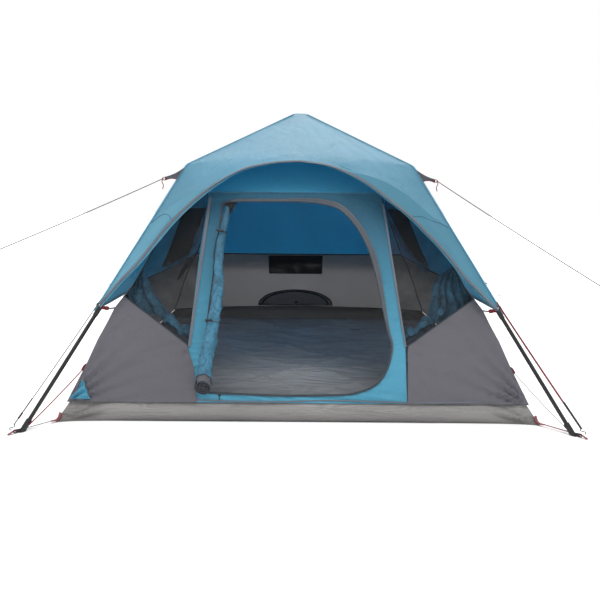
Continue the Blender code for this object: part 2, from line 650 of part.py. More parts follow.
# ---------------------------------------------------------------- fly
def fly_corner(height):
    """(r, z) of the fly's corner edge at a height below the shoulder: it clears the leg's axis."""
    edge = SHOULDER + FLY_OFF_AXIS * across(LEG_ANGLE)
    direction = along(LEG_ANGLE)
    return edge + direction * ((height - edge.z) / direction.z)


def fly_shoulder():
    """Where the fly turns from the roof to the sides, over the shoulder joint."""
    mid = (ARM_ANGLE + LEG_ANGLE) / 2
    return SHOULDER + FLY_OFF_AXIS / math.cos((ARM_ANGLE - LEG_ANGLE) / 2) * across(mid)


def corner(point, azimuth):
    """A corner point of the fly in the tent's frame."""
    return world((point.x, 0, point.z), azimuth)


def arch_point(share):
    """The front arch from the left hem corner (0) over the crown (0.5) to the right one (1)."""
    hem = fly_corner(FLY_HEM_HEIGHT).x / math.sqrt(2)
    across_share = 2 * share - 1
    rise = 1 - abs(across_share) ** ARCH_POWER
    return Vector(((hem - ARCH_INSET) * across_share, -(hem + (VISOR_REACH - hem) * rise),
                   FLY_HEM_HEIGHT + (VISOR_HEIGHT - FLY_HEM_HEIGHT) * rise))


def make_fly():
    """Roof, three full sides, and a front cut out to an arch, with a tab for each guy line."""
    steps = FLY_EDGE_STEPS
    top = Vector((FLY_TOP_HALF * math.sqrt(2), 0, FLY_TOP_HEIGHT))
    shoulder = fly_shoulder()
    bm = bmesh.new()
    order = ["front_left", "front_right", "rear_right", "rear_left"]
    tops = [bm.verts.new(corner(top, LEGS[name])) for name in order]
    shoulders = [bm.verts.new(corner(shoulder, LEGS[name])) for name in order]
    edges = {name: [bm.verts.new(corner(fly_corner(shoulder.z + (FLY_HEM_HEIGHT - shoulder.z) * i / steps),
                                        LEGS[name])) for i in range(1, steps + 1)] for name in order}
    columns = {name: [shoulders[k]] + edges[name] for k, name in enumerate(order)}
    bm.faces.new(tops)
    crown = bm.verts.new(arch_point(0.5))
    bm.faces.new((tops[0], tops[1], crown))
    bm.faces.new((tops[0], crown, shoulders[0]))
    bm.faces.new((tops[1], shoulders[1], crown))
    for k in (1, 2, 3):
        after = (k + 1) % 4
        bm.faces.new((tops[k], tops[after], shoulders[after], shoulders[k]))
        a, b = columns[order[k]], columns[order[after]]
        for i in range(steps):
            bm.faces.new((a[i], b[i], b[i + 1], a[i + 1]))
    for name, direction in (("front_left", -1), ("front_right", 1)):
        arch = [crown] + [bm.verts.new(arch_point(0.5 + direction * 0.5 * i / steps)) for i in range(1, steps + 1)]
        leg_edge = columns[name]
        for i in range(steps):
            bm.faces.new((leg_edge[i], arch[i], arch[i + 1], leg_edge[i + 1]))
    bmesh.ops.triangulate(bm, faces=[f for f in bm.faces if len(f.verts) > 3])
    fly = mesh_of("fly", bm, smooth=False)
    shell = add("shell", fly, "fly_blue")
    solid = shell.modifiers.new("thickness", "SOLIDIFY")
    solid.thickness = CLOTH
    solid.offset = 1.0
    closed = bpy.data.meshes.new_from_object(shell.evaluated_get(bpy.context.evaluated_depsgraph_get()))
    bpy.data.objects.remove(shell)
    tabs = [guy_tab(azimuth, tab_side(azimuth)) for azimuth in LEGS.values()]
    mesh = boolean(closed, mesh_of("tabs", joined(tabs), smooth=False), "UNION")
    mesh.name = "fly"
    add("fly", mesh, "fly_blue")


def guy_tab(azimuth, side):
    """A three-cornered tab on the fly's corner seam, reaching out to the guy line's end.
    side moves its tip beside the leg's plane."""
    seam = fly_shoulder() + 0.5 * CLOTH * across(LEG_ANGLE)
    upper, lower = (seam + reach * along(LEG_ANGLE) for reach in TAB_SEAM)
    corners = [(upper.x, 0, upper.z), (lower.x, 0, lower.z), (TAB_TIP[0], side, TAB_TIP[1])]
    half = Vector((0, TAB_THICKNESS / 2, 0))
    bm = bmesh.new()
    near = [bm.verts.new(world(Vector(c) + half, azimuth)) for c in corners]
    far = [bm.verts.new(world(Vector(c) - half, azimuth)) for c in corners]
    bm.faces.new(near)
    bm.faces.new(far[::-1])
    for i in range(3):
        bm.faces.new((near[i], far[i], far[(i + 1) % 3], near[(i + 1) % 3]))
    return bm


# ---------------------------------------------------------------- guy lines
def tab_side(azimuth):
    """How far a guy tab's tip lies beside its leg's plane: the rear lines must miss the folding legs."""
    return 0 if azimuth > 180 else math.copysign(REAR_TAB_SIDE, 90 - azimuth)


def tip(leg_name):
    """Where a guy line leaves its tab."""
    azimuth = LEGS[leg_name]
    return world((TAB_TIP[0], tab_side(azimuth), TAB_TIP[1]), azimuth)


def line_points(start, end, sag, count=15):
    """A taut line with a slight sag."""
    return [start.lerp(end, i / (count - 1)) - Vector((0, 0, 4 * sag * (i / (count - 1)) * (1 - i / (count - 1))))
            for i in range(count)]


def tube_object(name, points, radius, slot, resolution=2):
    """A round tube along the points, with filled ends."""
    curve = bpy.data.curves.new(name, "CURVE")
    curve.dimensions = "3D"
    curve.bevel_depth = radius
    curve.bevel_resolution = resolution
    curve.use_fill_caps = True
    curve.render_resolution_u = 0
    spline = curve.splines.new("POLY")
    spline.points.add(len(points) - 1)
    for target, p in zip(spline.points, points):
        target.co = (*p, 1)
    curve.materials.append(material(slot))
    made = bpy.data.objects.new(name, curve)
    bpy.context.scene.collection.objects.link(made)
    return made


def make_guys():
    """Front guy lines end in the air where something outside holds them; rear ones run to pegs."""
    for leg_name, end in FRONT_GUY_ENDS.items():
        start = tip(leg_name)
        end = Vector(end)
        start += GUY_GAP * (end - start).normalized()
        tube_object(f"guy_line_{leg_name}", line_points(start, end, GUY_SAG), GUY_RADIUS, "cord_red")
    for leg_name, end in REAR_PEGS.items():
        start = tip(leg_name)
        end = Vector(end)
        direction = (end - start).normalized()
        start += GUY_GAP * direction
        tube_object(f"guy_line_{leg_name}", line_points(start, end, 0.0), GUY_RADIUS, "cord_red")
        middle = start.lerp(end, RUNNER_SHARE)
        profile = [(RUNNER_BORE, -0.5 * RUNNER_LENGTH), (RUNNER_RADIUS - 0.001, -0.5 * RUNNER_LENGTH),
                   (RUNNER_RADIUS, -0.5 * RUNNER_LENGTH + 0.002), (RUNNER_RADIUS, 0.5 * RUNNER_LENGTH - 0.002),
                   (RUNNER_RADIUS - 0.001, 0.5 * RUNNER_LENGTH), (RUNNER_BORE, 0.5 * RUNNER_LENGTH)]
        add(f"guy_runner_{leg_name}", mesh_of(f"guy_runner_{leg_name}", turned(profile, middle, direction, 14)),
            "moulding_black")
        make_peg(leg_name, end, direction)


def make_peg(leg_name, end, direction):
    """A wire peg laid along the line on the ground, its hook turned round the line's end."""
    level = Vector((direction.x, direction.y, 0)).normalized()
    side = Vector((-level.y, level.x, 0))
    ground = Vector((end.x, end.y, PEG_RADIUS + PEG_OFF_GROUND))
    eye = ground + PEG_HOOK_AHEAD * level
    hook = [eye + PEG_HOOK_RADIUS * (math.cos(a) * -side + math.sin(a) * -level)
            for a in (math.radians(15 + 22.5 * i) for i in range(8))]
    shaft = [hook[-1] + level * (PEG_LENGTH * (i + 1) / 4) for i in range(4)]
    tube_object(f"peg_{leg_name}", hook + shaft, PEG_RADIUS, "pin_steel")


def make_zip_slider():
    """The door zip's slider with its pull, parked at the hinge side of the bottom run."""
    spot = front_point(DOOR_LEFT + SLIDER_FROM_HINGE, DOOR_BOTTOM - SLIDER_BELOW_EDGE)
    place = spot + SLIDER_PROUD * FRONT_NORMAL
    slider = box(SLIDER_LOW, SLIDER_HIGH)
    pull = box(PULL_LOW, PULL_HIGH)
    mesh = boolean(mesh_of("zip_slider", slider, smooth=False), mesh_of("pull", pull, smooth=False), "UNION")
    mesh.name = "zip_slider"
    mesh.transform(Matrix.Rotation(-FRONT_LEAN, 4, "X"))
    add("zip_slider", mesh, "pin_steel", place)


def build():
    """Clears the scene and makes every part."""
    for o in list(bpy.data.objects):
        bpy.data.objects.remove(o)
    make_hub()
    make_legs()
    make_groundsheet()
    make_front()
    make_walls()
    make_roof()
    make_fly()
    make_guys()
    make_zip_slider()


build()
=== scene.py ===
"""The looks of a four-person pop up tent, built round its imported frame.

Metres, +Z up, the door faces -Y and the origin is the middle of the floor.
"""

import math

import bmesh
import bpy
from mathutils import Matrix, Vector, noise


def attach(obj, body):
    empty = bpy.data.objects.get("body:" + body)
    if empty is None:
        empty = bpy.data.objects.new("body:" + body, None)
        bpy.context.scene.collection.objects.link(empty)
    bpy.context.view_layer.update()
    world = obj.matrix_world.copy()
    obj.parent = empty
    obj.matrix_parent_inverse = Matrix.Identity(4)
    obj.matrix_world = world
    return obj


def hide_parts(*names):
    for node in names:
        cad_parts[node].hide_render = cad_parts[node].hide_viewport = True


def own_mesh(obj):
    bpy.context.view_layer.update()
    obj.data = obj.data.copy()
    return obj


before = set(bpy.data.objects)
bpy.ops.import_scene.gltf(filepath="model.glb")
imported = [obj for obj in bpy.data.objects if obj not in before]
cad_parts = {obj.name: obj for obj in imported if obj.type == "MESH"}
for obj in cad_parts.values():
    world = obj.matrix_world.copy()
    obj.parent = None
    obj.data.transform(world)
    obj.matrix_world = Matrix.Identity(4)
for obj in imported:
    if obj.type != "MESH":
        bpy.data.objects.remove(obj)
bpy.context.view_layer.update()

# ---------------------------------------------------------------- sizes that repeat those of the CAD
SILL_TOP = 0.09
SEAM = 0.64                      # seam between the grey lower and the blue upper wall
EAVE = 1.13
HEM = 0.530                      # height of the fly's hem
HEM_HALF = 1.0352
SHOULDER_HALF, SHOULDER_HEIGHT = 0.6300, 1.280
TOP_HALF, TOP_HEIGHT = 0.045, 1.6415
CROWN = (-0.705, 1.295)          # (y, z) of the front arch's crown
FRONT_SLOPE = 0.476
FRONT_LEAN = math.atan(FRONT_SLOPE)
FRONT_OUT = Vector((0, -math.cos(FRONT_LEAN), math.sin(FRONT_LEAN)))
CORNER = [(0.0, 1.198), (0.09, 1.155), (0.19, 1.110), (0.26, 1.078), (0.38, 1.030), (0.44, 1.000),
          (0.50, 0.973), (0.53, 0.960), (0.58, 0.925), (0.64, 0.885), (0.75, 0.831), (1.13, 0.660)]
LEGS = {"front_left": 225, "front_right": 315, "rear_left": 135, "rear_right": 45}
LEG_PITCH = math.radians(52.597)   # a leg's angle above the ground
FOOT_RADIUS = 1.85


# ---------------------------------------------------------------- small helpers
def mix(a, b, t):
    """The value t of the way from a to b."""
    return a + (b - a) * t


def ease(t):
    """0 to 1 with level ends."""
    t = min(1.0, max(0.0, t))
    return t * t * (3 - 2 * t)


def table(pairs, x):
    """Linear interpolation in (x, y) pairs."""
    for (x0, y0), (x1, y1) in zip(pairs, pairs[1:]):
        if x <= x1:
            return mix(y0, y1, max(0.0, (x - x0) / (x1 - x0)))
    return pairs[-1][1]


def rough(point, scale, seed=0.0):
    """Smooth noise from about -1 to 1."""
    return noise.noise(Vector(point) * scale + Vector((seed, 1.7 * seed, -seed)))


def spline(points, count):
    """count points, evenly spaced along a smooth curve through the given ones."""
    points = [Vector(p) for p in points]
    ends = [2 * points[0] - points[1]] + points + [2 * points[-1] - points[-2]]
    fine = []
    for a, b, c, d in zip(ends, ends[1:], ends[2:], ends[3:]):
        for i in range(24):
            t = i / 24
            fine.append(0.5 * (2 * b + (c - a) * t + (2 * a - 5 * b + 4 * c - d) * t ** 2
                               + (3 * b - a - 3 * c + d) * t ** 3))
    fine.append(points[-1])
    return spaced(fine, count)


def spaced(line, count):
    """count points, evenly spaced along a polyline."""
    reach = [0.0]
    for a, b in zip(line, line[1:]):
        reach.append(reach[-1] + (b - a).length)
    found, k = [], 0
    for i in range(count):
        target = reach[-1] * i / (count - 1)
        while k < len(line) - 2 and reach[k + 1] < target:
            k += 1
        found.append(line[k].lerp(line[k + 1], min(1.0, (target - reach[k]) / max(1e-9, reach[k + 1] - reach[k]))))
    return found


def turned(point, azimuth):
    """A point of a leg's (r, side, z) frame, in the tent's."""
    return Matrix.Rotation(math.radians(azimuth), 3, "Z") @ Vector(point)


# ---------------------------------------------------------------- materials
class Paint:
    """A node material with one Principled shader."""

    def __init__(self, name):
        self.material = bpy.data.materials.new(name)
        self.material.use_nodes = True
        self.tree = self.material.node_tree
        self.shader = self.tree.nodes["Principled BSDF"]
        self.out = self.tree.nodes["Material Output"]
        self.space = self.node("ShaderNodeTexCoord")

    def node(self, kind, **values):
        made = self.tree.nodes.new(kind)
        for key, value in values.items():
            if key in made.inputs:
                made.inputs[key].default_value = value
            else:
                setattr(made, key, value)
        return made

    def link(self, source, target):
        self.tree.links.new(source, target)

    def noise(self, scale, detail=3.0, distortion=0.0, coords="Object", stretch=(1, 1, 1)):
        """A noise texture's value."""
        made = self.node("ShaderNodeTexNoise", Scale=scale, Detail=detail, Distortion=distortion)
        place = self.node("ShaderNodeMapping", Scale=stretch)
        self.link(self.space.outputs[coords], place.inputs["Vector"])
        self.link(place.outputs[0], made.inputs["Vector"])
        return made.outputs["Fac"]

    def wave(self, axis, scale, coords="Object", profile="SIN"):
        """Straight bands across one axis, or diagonal ones."""
        made = self.node("ShaderNodeTexWave", wave_type="BANDS", bands_direction=axis, wave_profile=profile,
                         Scale=scale, Distortion=0.0)
        self.link(self.space.outputs[coords], made.inputs["Vector"])
        return made.outputs["Fac"]

    def math(self, operation, a, b=0.5):
        made = self.node("ShaderNodeMath", operation=operation)
        for socket, value in zip(made.inputs, (a, b)):
            if isinstance(value, (int, float)):
                socket.default_value = value
            else:
                self.link(value, socket)
        return made.outputs[0]

    def ramp(self, factor, stops):
        """A colour ramp through (place, colour) stops."""
        made = self.node("ShaderNodeValToRGB")
        ramp = made.color_ramp
        while len(ramp.elements) < len(stops):
            ramp.elements.new(0.5)
        for element, (place, colour) in zip(ramp.elements, stops):
            element.position = place
            element.color = (*colour, 1)
        self.link(factor, made.inputs[0])
        return made.outputs[0]

    def span(self, factor, low, high):
        """A factor's 0.3 to 0.7 turned into low to high."""
        made = self.node("ShaderNodeMapRange")
        for name, value in (("From Min", 0.3), ("From Max", 0.7), ("To Min", low), ("To Max", high)):
            made.inputs[name].default_value = value
        self.link(factor, made.inputs["Value"])
        return made.outputs[0]

    def bump(self, height, distance, before=None):
        made = self.node("ShaderNodeBump", Strength=1.0, Distance=distance)
        self.link(height, made.inputs["Height"])
        if before is not None:
            self.link(before, made.inputs["Normal"])
        return made.outputs[0]


def shade(colour, share):
    return tuple(min(1.0, c * share) for c in colour)


def dye_and_painted_light(p, tone, colour, spread, painted_light_ramp):
    """Dye variation round a colour, and painted light and shade: the ramp (axis, start, end, colour) runs it into a
    second colour along an axis.
    """
    first = p.ramp(tone, [(0.34, shade(colour, 1 - spread)), (0.66, shade(colour, 1 + spread))])
    if painted_light_ramp is None:
        return first
    axis, start, end, other = painted_light_ramp
    split = p.node("ShaderNodeSeparateXYZ")
    p.link(p.space.outputs["Object"], split.inputs[0])
    place = p.node("ShaderNodeMapRange", **{"From Min": start, "From Max": end})
    p.link(split.outputs[axis], place.inputs["Value"])
    both = p.node("ShaderNodeMix", data_type="RGBA")
    p.link(place.outputs[0], both.inputs[0])
    p.link(first, both.inputs[6])
    p.link(p.ramp(tone, [(0.34, shade(other, 1 - spread)), (0.66, shade(other, 1 + spread))]), both.inputs[7])
    return both.outputs[2]


def cloth(name, colour, roughness=0.5, through=0.25, spread=0.10, crease=0.004, weave=0.0003, sheen=0.08, glow=1.0,
          creases=6.5, painted_light_ramp=None, cloud=1.6, stretch=(1, 1, 1), lines=0.0):
    """Woven, coated polyester: dye variation, threads, packing creases, and light that comes through. It can also paint
    light and shade into the colour: a ramp along one axis, and dark crease lines.
    """
    p = Paint(name)
    clouds = p.noise(cloud, 4.0, 0.4)
    flecks = p.noise(90.0, 2.0)
    tone = p.math("ADD", p.math("MULTIPLY", clouds, 0.75), p.math("MULTIPLY", flecks, 0.25))
    base = dye_and_painted_light(p, tone, colour, spread, painted_light_ramp)
    # painted crease shade: dark lines along a ridged noise darken the colour where creases would be in shade
    if lines:
        ridge = p.math("ABSOLUTE", p.math("SUBTRACT", p.noise(lines, 3.0, 1.6), 0.5))
        depth = p.node("ShaderNodeMapRange", **{"From Min": 0.0, "From Max": 0.045, "To Min": 0.8, "To Max": 0.0})
        p.link(ridge, depth.inputs["Value"])
        painted_crease_shade = p.node("ShaderNodeMix", data_type="RGBA")
        p.link(depth.outputs[0], painted_crease_shade.inputs[0])
        p.link(base, painted_crease_shade.inputs[6])
        painted_crease_shade.inputs[7].default_value = (*shade(colour, 0.30), 1)
        base = painted_crease_shade.outputs[2]
    p.link(base, p.shader.inputs["Base Color"])
    threads = p.math("ADD", p.math("ADD", p.wave("X", 260), p.wave("Y", 260)), p.wave("Z", 260))
    folds = p.noise(creases, 5.0, 1.1, stretch=stretch)
    soft = p.bump(folds, crease)
    p.link(p.bump(threads, weave, soft), p.shader.inputs["Normal"])
    p.link(p.span(p.noise(5.0, 3.0), roughness - 0.07, roughness + 0.08), p.shader.inputs["Roughness"])
    p.shader.inputs["Sheen Weight"].default_value = sheen
    if through:
        passed = p.node("ShaderNodeBsdfTranslucent")
        lit = (*painted_light_ramp[:3], shade(painted_light_ramp[3], glow)) if painted_light_ramp else None
        p.link(dye_and_painted_light(p, tone, shade(colour, glow), spread, lit), passed.inputs["Color"])
        both = p.node("ShaderNodeMixShader", Fac=through)
        p.link(p.shader.outputs[0], both.inputs[1])
        p.link(passed.outputs[0], both.inputs[2])
        p.link(both.outputs[0], p.out.inputs["Surface"])
    return p.material


def netting(name, colour, solid=0.9):
    """Fine mosquito mesh: dark threads with pinholes."""
    p = Paint(name)
    base = p.ramp(p.noise(3.0, 3.0), [(0.35, shade(colour, 0.7)), (0.65, shade(colour, 1.6))])
    p.link(base, p.shader.inputs["Base Color"])
    threads = p.math("ADD", p.math("ADD", p.wave("X", 180), p.wave("Y", 180)), p.wave("Z", 180))
    p.link(p.bump(threads, 0.0001, p.bump(p.noise(8.0, 3.0, 0.8), 0.006)), p.shader.inputs["Normal"])
    p.link(p.span(p.noise(14.0, 3.0), solid - 0.07, solid + 0.05), p.shader.inputs["Alpha"])
    p.shader.inputs["Roughness"].default_value = 0.8
    return p.material


def tape(name, colour, roughness=0.65, spread=0.15, ribs=420, stitch=None):
    """Webbing and binding tape, with crosswise ribs and two rows of stitches along its UV length."""
    p = Paint(name)
    tone = p.math("ADD", p.math("MULTIPLY", p.noise(7.0, 4.0), 0.6), p.math("MULTIPLY", p.noise(300.0, 2.0), 0.4))
    base = p.ramp(tone, [(0.35, shade(colour, 1 - spread)), (0.65, shade(colour, 1 + spread))])
    height = p.wave("X", ribs, "UV")
    if stitch:
        split = p.node("ShaderNodeSeparateXYZ")
        p.link(p.space.outputs["UV"], split.inputs[0])
        dash = p.math("GREATER_THAN", p.math("FRACT", p.math("MULTIPLY", split.outputs[0], 160.0)), 0.4)
        inset = p.math("ABSOLUTE", p.math("SUBTRACT", p.math("ABSOLUTE", split.outputs[1]), 0.75))
        row = p.math("LESS_THAN", inset, 0.07)
        mark = p.math("MULTIPLY", dash, row)
        two = p.node("ShaderNodeMix", data_type="RGBA")
        p.link(mark, two.inputs[0])
        p.link(base, two.inputs[6])
        two.inputs[7].default_value = (*stitch, 1)
        base = two.outputs[2]
        height = p.math("ADD", p.math("MULTIPLY", height, 0.3), mark)
    p.link(base, p.shader.inputs["Base Color"])
    p.link(p.bump(height, 0.0004), p.shader.inputs["Normal"])
    p.link(p.span(p.noise(12.0, 2.0), roughness - 0.08, roughness + 0.08), p.shader.inputs["Roughness"])
    p.shader.inputs["Sheen Weight"].default_value = 0.15
    return p.material


def braid(name, colour, fleck):
    """A braided cord with flecks of a second colour."""
    p = Paint(name)
    cross = p.math("MULTIPLY", p.wave("DIAGONAL", 150, "UV"), p.wave("X", 310, "UV"))
    base = p.ramp(p.math("ADD", cross, p.math("MULTIPLY", p.noise(40.0, 2.0), 0.2)),
                  [(0.15, shade(colour, 0.75)), (0.55, colour), (0.75, fleck)])
    p.link(base, p.shader.inputs["Base Color"])
    p.link(p.bump(cross, 0.0004), p.shader.inputs["Normal"])
    p.link(p.span(p.noise(25.0, 2.0), 0.6, 0.85), p.shader.inputs["Roughness"])
    return p.material


def moulded(name, colour, roughness=0.45, wear=0.35, metallic=0.0, grain=220.0):
    """Moulded plastic or painted metal: fine grain, and edges rubbed lighter."""
    p = Paint(name)
    edge = p.node("ShaderNodeNewGeometry").outputs["Pointiness"]
    rubbed = p.ramp(edge, [(0.50, (0, 0, 0)), (0.62, (1, 1, 1))])
    patch = p.math("MULTIPLY", p.math("MULTIPLY", rubbed, p.noise(35.0, 4.0)), wear)
    base = p.ramp(p.math("ADD", p.math("MULTIPLY", p.noise(18.0, 4.0), 0.5), patch),
                  [(0.12, shade(colour, 0.8)), (0.42, shade(colour, 1.25)), (0.75, shade(colour, 3.0))])
    p.link(base, p.shader.inputs["Base Color"])
    p.link(p.bump(p.noise(grain, 3.0), 0.00025), p.shader.inputs["Normal"])
    p.link(p.span(p.noise(28.0, 4.0), roughness - 0.1, roughness + 0.12), p.shader.inputs["Roughness"])
    p.shader.inputs["Metallic"].default_value = metallic
    return p.material


FLY = cloth("fly_cloth", (0.176, 0.446, 0.585), roughness=0.33, through=0.42, spread=0.10, crease=0.014, glow=1.25,
            stretch=(1.4, 1.0, 0.35))
# painted shade: the brim strip's colour darkens from left to right along X
FLY_STRIP = cloth("fly_strip_cloth", (0.170, 0.450, 0.585), roughness=0.46, through=0.38, spread=0.07,
                  crease=0.007, glow=1.2, painted_light_ramp=(0, -0.75, 0.45, (0.108, 0.345, 0.470)))
BLUE = cloth("inner_blue_cloth", (0.150, 0.620, 0.860), roughness=0.55, through=0.55, spread=0.07, crease=0.006,
             glow=1.25)
# painted shadow of the brim: the door frame's colour darkens towards its top
DOOR_BLUE = cloth("door_blue_cloth", (0.086, 0.380, 0.550), roughness=0.5, through=0.20, spread=0.10, crease=0.018,
                  painted_light_ramp=(2, 0.30, 1.00, (0.024, 0.130, 0.215)))
# painted shade: the roll darkens towards its top, and dark crease lines and a fine, strong mottle paint the shade of
# its creases
ROLL_BLUE = cloth("door_roll_cloth", (0.052, 0.225, 0.355), roughness=0.36, through=0.08, spread=0.24, crease=0.012,
                  creases=24.0, cloud=15.0, lines=13.0, painted_light_ramp=(2, 0.50, 1.00, (0.026, 0.130, 0.215)))
COVER_LIGHT = cloth("side_cover_cloth", (0.200, 0.500, 0.680), roughness=0.5, through=0.50, spread=0.14, crease=0.010,
                    creases=16.0)
# painted crease shade: dark lines along the let-down covers' folds
COVER_BLUE = cloth("cover_blue_cloth", (0.130, 0.430, 0.660), roughness=0.45, through=0.25, spread=0.30, crease=0.012,
                   creases=14.0, cloud=12.0, lines=9.0)
GREY = cloth("wall_grey_cloth", (0.123, 0.118, 0.139), roughness=0.46, through=0.10, spread=0.08, crease=0.020,
             creases=5.0)
WALL_GREY = cloth("inner_grey_cloth", (0.438, 0.434, 0.440), roughness=0.6, through=0.52, spread=0.07, crease=0.006)
# painted shade: the sill's colour darkens towards the ground, where it curves under
SILL = cloth("sill_cloth", (0.200, 0.190, 0.186), roughness=0.38, through=0.0, spread=0.12, crease=0.040,
             weave=0.0006, sheen=0.0, creases=9.0, stretch=(0.22, 1, 2.2), painted_light_ramp=(2, 0.0, 0.060, (0.370, 0.355, 0.347)))
TUB = cloth("tub_cloth", (0.400, 0.385, 0.375), roughness=0.42, through=0.20, spread=0.08, crease=0.012,
            weave=0.0006, sheen=0.0)
# painted light: the floor's colour runs from dark grey at the door to near white from the middle back, making up for
# the shade inside
FLOOR = cloth("floor_cloth", (0.150, 0.156, 0.160), roughness=0.34, through=0.0, spread=0.16, crease=0.045,
              weave=0.0006, sheen=0.0, creases=6.0, stretch=(0.5, 1.6, 1), painted_light_ramp=(1, -1.05, 0.0, (0.74, 0.77, 0.80)))
NET = netting("mosquito_mesh", (0.014, 0.015, 0.018), 0.965)
SHEER = netting("front_mosquito_mesh", (0.006, 0.007, 0.008), 0.35)
GREY_TAPE = tape("grey_tape", (0.098, 0.112, 0.136), stitch=(0.20, 0.22, 0.26))
FLAP_TAPE = tape("flap_tape", (0.056, 0.066, 0.082), stitch=(0.16, 0.18, 0.21))
DARK_TAPE = tape("dark_tape", (0.016, 0.026, 0.038), stitch=(0.07, 0.09, 0.11))
SEAM_TAPE = tape("seam_tape", (0.095, 0.29, 0.42), stitch=(0.22, 0.45, 0.58))
RED_WEB = tape("red_webbing", (0.200, 0.008, 0.018), spread=0.25)
BLACK_WEB = tape("black_webbing", (0.012, 0.012, 0.014), spread=0.3)
RED_CORD = braid("red_cord", (0.090, 0.008, 0.012), (0.030, 0.028, 0.032))
GREY_CORD = braid("grey_cord", (0.035, 0.032, 0.035), (0.14, 0.12, 0.12))
TUBE = moulded("tube_black", (0.0045, 0.0045, 0.005), roughness=0.36, wear=0.3)
PLASTIC = moulded("moulding_black", (0.006, 0.006, 0.0065), roughness=0.48)
STEEL = moulded("pin_steel", (0.42, 0.42, 0.44), roughness=0.32, metallic=1.0, wear=0.1)
BUTTON = moulded("button_red", (0.42, 0.02, 0.025), roughness=0.4)


# ---------------------------------------------------------------- mesh building
def finish_piece(name, mesh, material, slot, body="tent", stands_for=()):
    """Adds a piece on its body."""
    made = bpy.data.objects.new(name, mesh)
    bpy.context.scene.collection.objects.link(made)
    mesh.materials.append(material)
    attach(made, body)
    if stands_for:
        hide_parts(*stands_for)
    if body == "tent":
        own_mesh(made)
    return made


def thickened(bm, thickness, smooth=35.0):
    """The mesh of an open surface, made into a closed sheet."""
    raw = bpy.data.meshes.new("raw")
    bm.to_mesh(raw)
    bm.free()
    holder = bpy.data.objects.new("holder", raw)
    bpy.context.scene.collection.objects.link(holder)
    solid = holder.modifiers.new("thickness", "SOLIDIFY")
    solid.thickness = thickness
    solid.offset = 0.0
    mesh = bpy.data.meshes.new_from_object(holder.evaluated_get(bpy.context.evaluated_depsgraph_get()))
    bpy.data.objects.remove(holder)
    bpy.data.meshes.remove(raw)
    mesh.shade_smooth()
    mesh.set_sharp_from_angle(angle=math.radians(smooth))
    return mesh


def grid(rows, keep=None, welded=1e-5):
    """A bmesh of faces between rows of points. keep(i, j) says which cells are made."""
    bm = bmesh.new()
    verts = [[bm.verts.new(p) for p in row] for row in rows]
    for i in range(len(rows) - 1):
        for j in range(len(rows[0]) - 1):
            if keep is None or keep(i, j):
                bm.faces.new((verts[i][j], verts[i][j + 1], verts[i + 1][j + 1], verts[i + 1][j]))
    bmesh.ops.delete(bm, geom=[v for v in bm.verts if not v.link_faces], context="VERTS")
    if welded:
        bmesh.ops.remove_doubles(bm, verts=bm.verts[:], dist=welded)
    return bm


def frames(points, up=(0, 0, 1)):
    """A side vector and a lift vector at each point of a line, turning as little as they can."""
    points = [Vector(p) for p in points]
    tangents = [(points[min(i + 1, len(points) - 1)] - points[max(i - 1, 0)]).normalized()
                for i in range(len(points))]
    lift = Vector(up) - tangents[0] * Vector(up).dot(tangents[0])
    if lift.length < 1e-3:
        lift = tangents[0].orthogonal()
    lift.normalize()
    found = []
    for t in tangents:
        lift = (lift - t * lift.dot(t)).normalized()
        found.append((t.cross(lift), lift))
    return points, found


def tube_mesh(points, radius, sides=8, up=(0, 0, 1)):
    """A closed round tube along points, with UVs in metres along and round it."""
    points, turns = frames(points, up)
    radii = radius if isinstance(radius, list) else [radius] * len(points)
    bm = bmesh.new()
    uv = bm.loops.layers.uv.new("UVMap")
    rings, along = [], [0.0]
    for a, b in zip(points, points[1:]):
        along.append(along[-1] + (b - a).length)
    for p, (side, lift), r in zip(points, turns, radii):
        rings.append([bm.verts.new(p + r * (math.cos(2 * math.pi * k / sides) * side
                                            + math.sin(2 * math.pi * k / sides) * lift)) for k in range(sides)])
    around = 2 * math.pi * max(radii) / sides
    for i in range(len(rings) - 1):
        for k in range(sides):
            m = (k + 1) % sides
            face = bm.faces.new((rings[i][k], rings[i][m], rings[i + 1][m], rings[i + 1][k]))
            for loop, place in zip(face.loops, ((along[i], k * around), (along[i], (k + 1) * around),
                                                (along[i + 1], (k + 1) * around), (along[i + 1], k * around))):
                loop[uv].uv = place
    bm.faces.new(rings[0][::-1])
    bm.faces.new(rings[-1])
    bmesh.ops.recalc_face_normals(bm, faces=bm.faces[:])
    mesh = bpy.data.meshes.new("tube")
    bm.to_mesh(mesh)
    bm.free()
    mesh.shade_smooth()
    mesh.set_sharp_from_angle(angle=math.radians(50))
    return mesh


